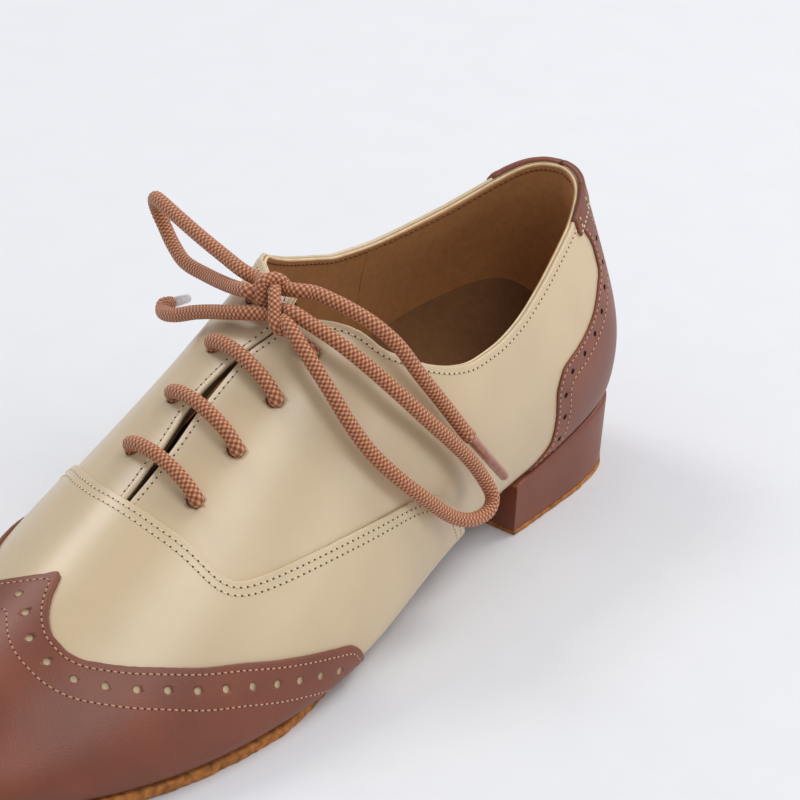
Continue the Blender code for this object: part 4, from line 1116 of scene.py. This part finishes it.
def make_front_rows(edges, cap, looks):
    """Stitches round the vamp and the wing cap, the cap's holes, and rows along the edge and facings."""
    for level in VAMP_ROWS:
        for line in lines_at(edges.whole, edges.seam, level):
            seam_row("vamp_groove_%d" % level, line, VAMP_LAYER[0], 0.45, "", looks)
    for level in CAP_ROWS:
        for line in lines_at(edges.whole, edges.wing, level):
            seam_row("wing_groove_%d" % level, line, CAP_LAYER[0], 0.4, "_brown", looks, 1.9)
    middle = lines_at(edges.whole, edges.wing, CAP_HOLES)
    # the cap's pits show the vamp's tan, darkened as painted shade
    punch_row(cap, middle, 8.4, 4.0, CAP_LAYER[0], 1.05, 0.4, looks["punch"])
    for line in lines_at(edges.topped, edges.top, TOP_ROW):
        seam_row("top_groove_shade", line, QUARTER_LAYER[0], 0.4, "", looks, lift=0.02)
    for side, name in enumerate(SIDES):
        near = clip(edges.base, lambda P: np.minimum.reduce([edges.top(P) - 1.0, 2.0 - edges.seam(P),
                                                             P[:, 0] - THROAT_TOP + 4]))
        for line in lines_at(near, lambda P: beside_gap(P, 1 - 2 * side), FACING_ROW):
            seam_row("facing_groove_shade_" + name, line, QUARTER_LAYER[0], 0.4, "", looks)


def make_back_rows(edges, heel, looks):
    """Stitches and holes along the heel counter, and stitches on the collar band."""
    base, top = edges.base, edges.top
    part = clip(base, lambda P: np.minimum.reduce([top(P) - 1.0, above_feather(P), under_collar(P) - 0.5]))
    for level in COUNTER_ROWS:
        for line in lines_at(part, edges.counter, level, 2):
            seam_row("counter_groove_shade", line, COUNTER_LAYER[0], 0.35, "_brown", looks, 1.9)
    middle = lines_at(part, edges.counter, COUNTER_HOLES, 2)
    # the counter's pits are coloured near black as painted shade
    punch_row(heel, middle, 7.6, 3.0, COUNTER_LAYER[0], 0.85, 0.5, looks["punch_dark_shade"])
    part = clip(base, lambda P: np.minimum(np.where(P[:, 1] < 0, 20.4, 24.0) - P[:, 0], top(P)))
    for line in lines_at(part, under_collar, -1.0):
        stitch_row("thread", line, COLLAR_TOP, pitch=1.8)
    part = clip(base, lambda P: np.minimum.reduce([-under_collar(P) - 1.0, top(P), P[:, 1]]))
    for at in COLLAR_BARS:
        for line in lines_at(part, lambda P: P[:, 0], at):
            stitch_row("thread", line, COLLAR_TOP, pitch=1.6)


def make_upper(base, surface, looks):
    edges = Edges(base)
    cap, heel = make_panels(edges, surface, looks)
    make_linings(edges, looks)
    make_front_rows(edges, cap, looks)
    make_back_rows(edges, heel, looks)


def make_stitches(looks):
    for kind, (points, faces) in STITCHES.items():
        add_piece("stitching_" + kind, points, faces, looks[kind], angle=None)


# ============================================================ sole and heel
def sole_ring(s, medial, lateral, bottom, top):
    """A section of the sole with soft edges."""
    r = min(SOLE_EDGE, (lateral - medial) * 0.4, (top - bottom) * 0.45)
    flat = np.linspace(medial + r, lateral - r, 9)
    inward = (0.3 * r, 0, 0, 0, 0.3 * r)
    heights = (bottom + 0.3 * r, bottom + r, (top + bottom) / 2, top - r, top - 0.3 * r)
    return ([(s, w, bottom) for w in flat] + [(s, lateral - d, z) for d, z in zip(inward, heights)]
            + [(s, w, top) for w in flat[::-1]]
            + [(s, medial + d, z) for d, z in zip(inward, heights[::-1])])


def heel_outline(inset, scale=1.0, count=120):
    route = HEEL_LATERAL + HEEL_MEDIAL[-2::-1]
    curve = smooth_route([(s, w, 0) for s, w in route], 0.5)[:, :2]
    along = np.gradient(curve, axis=0)
    inward = np.column_stack([-along[:, 1], along[:, 0]])
    inward /= np.linalg.norm(inward, axis=1)[:, None]
    inward *= -np.sign(inward[0, 1])
    moved = curve + inward * inset
    moved[:, 0] = np.minimum(moved[:, 0], BREAST_S - inset)
    pick = resample(np.column_stack([moved, np.zeros(len(moved))]), 1.0)[:, :2]
    at = np.linspace(0, len(pick) - 1, count)
    pick = np.column_stack([np.interp(at, np.arange(len(pick)), pick[:, k]) for k in range(2)])
    centre = np.array([BREAST_S, 0])
    return centre + (pick - centre) * scale


def make_heel(looks):
    """Leather-covered heel and its suede top piece, with soft edges."""
    def closed(outline, z):
        line = [(s, w, float(z(s)) if callable(z) else z) for s, w in outline]
        across = np.linspace(line[-1][1], line[0][1], 14)[1:-1]
        s = line[0][0]
        return line + [(s, w, float(z(s)) if callable(z) else z) for w in across]

    low, rings = TOP_PIECE, []
    for t, inset in ((0.0, 0.5), (0.01, 0.1), (0.04, 0.0), (0.25, 0.0), (0.5, 0.0), (0.75, 0.0),
                     (0.97, 0.0), (1.0, 0.2), (1.03, 1.2)):
        outline = heel_outline(inset, HEEL_TAPER + (1 - HEEL_TAPER) * t)
        rings.append(closed(outline, lambda s, t=t: low + (feather_height(s) + 0.5 - low) * t))
    loft("heel_cover_leather", rings, looks["brown"], ("heel_cover",), angle=50)
    rings = []
    for z, inset in ((0.0, 0.5), (0.2, 0.15), (0.6, -0.1), (1.4, -0.15), (1.9, 0.0), (2.1, 0.6)):
        ring = np.array(closed(heel_outline(inset - 0.1, HEEL_TAPER), z * TOP_PIECE / 2))
        away = unit(ring[:, :2] - np.array([40.0, 0.0]))
        ring[:, :2] += away * (ripple(ring, 0.7) * 0.14 + ripple(ring, 2.1, 2.0) * 0.12)[:, None]
        rings.append(ring.tolist())
    loft("heel_top_suede", rings, looks["edge"], ("heel_top_piece",), angle=50)


def make_sole(looks):
    """The suede sole from the heel's breast to the toe, cut in at the waist, with a rough edge."""
    back, front = BREAST_S - 0.3, feather_loop()[:, 0].max() - SOLE_INSET - 0.15
    s = back + (front - back) * (0.5 - 0.5 * np.cos(np.linspace(0, math.pi, 240)))
    cut = WAIST * through(WAIST_SHARE)(s)
    lateral, medial = feather_width(s, 1, SOLE_INSET) - cut, feather_width(s, -1, SOLE_INSET) + cut
    base = feather_height(s)
    bottom = np.maximum(base + np.interp(s, *SOLE_LOW), 0)
    rings = np.array(list(map(sole_ring, s, medial, lateral, bottom, base + SOLE_TOP)))
    push = SOLE_ROUGH * (ripple(rings.reshape(-1, 3), 0.7) + ripple(rings.reshape(-1, 3), 2.3, 1.0))
    push = push.reshape(rings.shape[:2])
    rings[:, 9:14, 1] += push[:, 9:14]
    rings[:, 23:, 1] -= push[:, 23:]
    loft("outsole_suede", rings.tolist(), looks["edge"], ("outsole",), angle=50)


def make_sock(surface, looks):
    """The footbed: a soft dish at the heel that runs out flat towards the toe."""
    floor = through(((0, 15.4), (30, 16.2), (52, 17.4), (70, 15.8), (112, 8.0), (290, 7.2)))
    dish = through(((0, 9.5), (60, 9.5), (104, 1.0), (130, 0.0), (290, 0.0)))
    rings = []
    for s in np.concatenate([np.linspace(3.4, 12, 8), np.linspace(15, 268, 64)]):
        low = float(feather_height(s) + floor(s))
        high = low + float(dish(s))
        sides = [surface.across(s, sign, high) - SOCK_CLEAR for sign in (1, -1)]
        if min(sides) < 1.0:
            continue
        across = np.linspace(-1, 1, 21)
        row = [(s, sides[0 if t > 0 else 1] * t, low + float(dish(s)) * abs(t) ** 2.6) for t in across]
        rings.append(row + [(a, w, z - 1.1) for a, w, z in row[::-1]])
    loft("sock_suede", rings, looks["sock"], ("sock_lining",), angle=60)


def make_tongue(base, looks):
    """The short tongue, slumped under the facings."""
    slump = through(((136, 11.0), (150, 9.5), (176, 7.6), (188, 5.6), (198, 0.6), (204, 0.0)))
    field = lambda P: np.minimum.reduce([17.0 - 0.06 * (P[:, 0] - 150) - np.abs(off_gap(P)),
                                         P[:, 0] - 140.0, 204.0 - P[:, 0]])
    # its near-black suede is painted shade for the gap between the facings
    panel("tongue_leather", base, field, (-3.6, -4.8), looks["tongue"], ("tongue",), rim=0.5, body="tongue",
          shift=lambda P: -slump(P[:, 0]))


def dress_hidden(looks):
    """Procedural looks on the CAD nodes that stay as they are."""
    wear = {"wood": ("heel_block",), "board": ("insole_board",), "cork": ("bottom_filler",),
            "foam": ("heel_pad",), "cloth": ("vamp_backer", "toe_puff", "heel_stiffener"),
            "steel": ("heel_screw", "steel_shank", *("heel_nail_%d" % k for k in (1, 2, 3, 4))),
            # the facing stays take the tongue's near-black suede, painted shade for the gap between the
            # facings
            "tongue": ("facing_stay_lateral", "facing_stay_medial")}
    for look, names in wear.items():
        for name in names:
            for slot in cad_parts[name].material_slots:
                slot.material = looks[look]


def main():
    looks = make_looks()
    make_stage()
    base = reference_surface(LEVEL)
    surface = Surface(base)
    make_lace(surface, looks)
    make_upper(base, surface, looks)
    make_tongue(base, looks)
    make_stitches(looks)
    make_sole(looks)
    make_sock(surface, looks)
    make_heel(looks)
    dress_hidden(looks)


main()
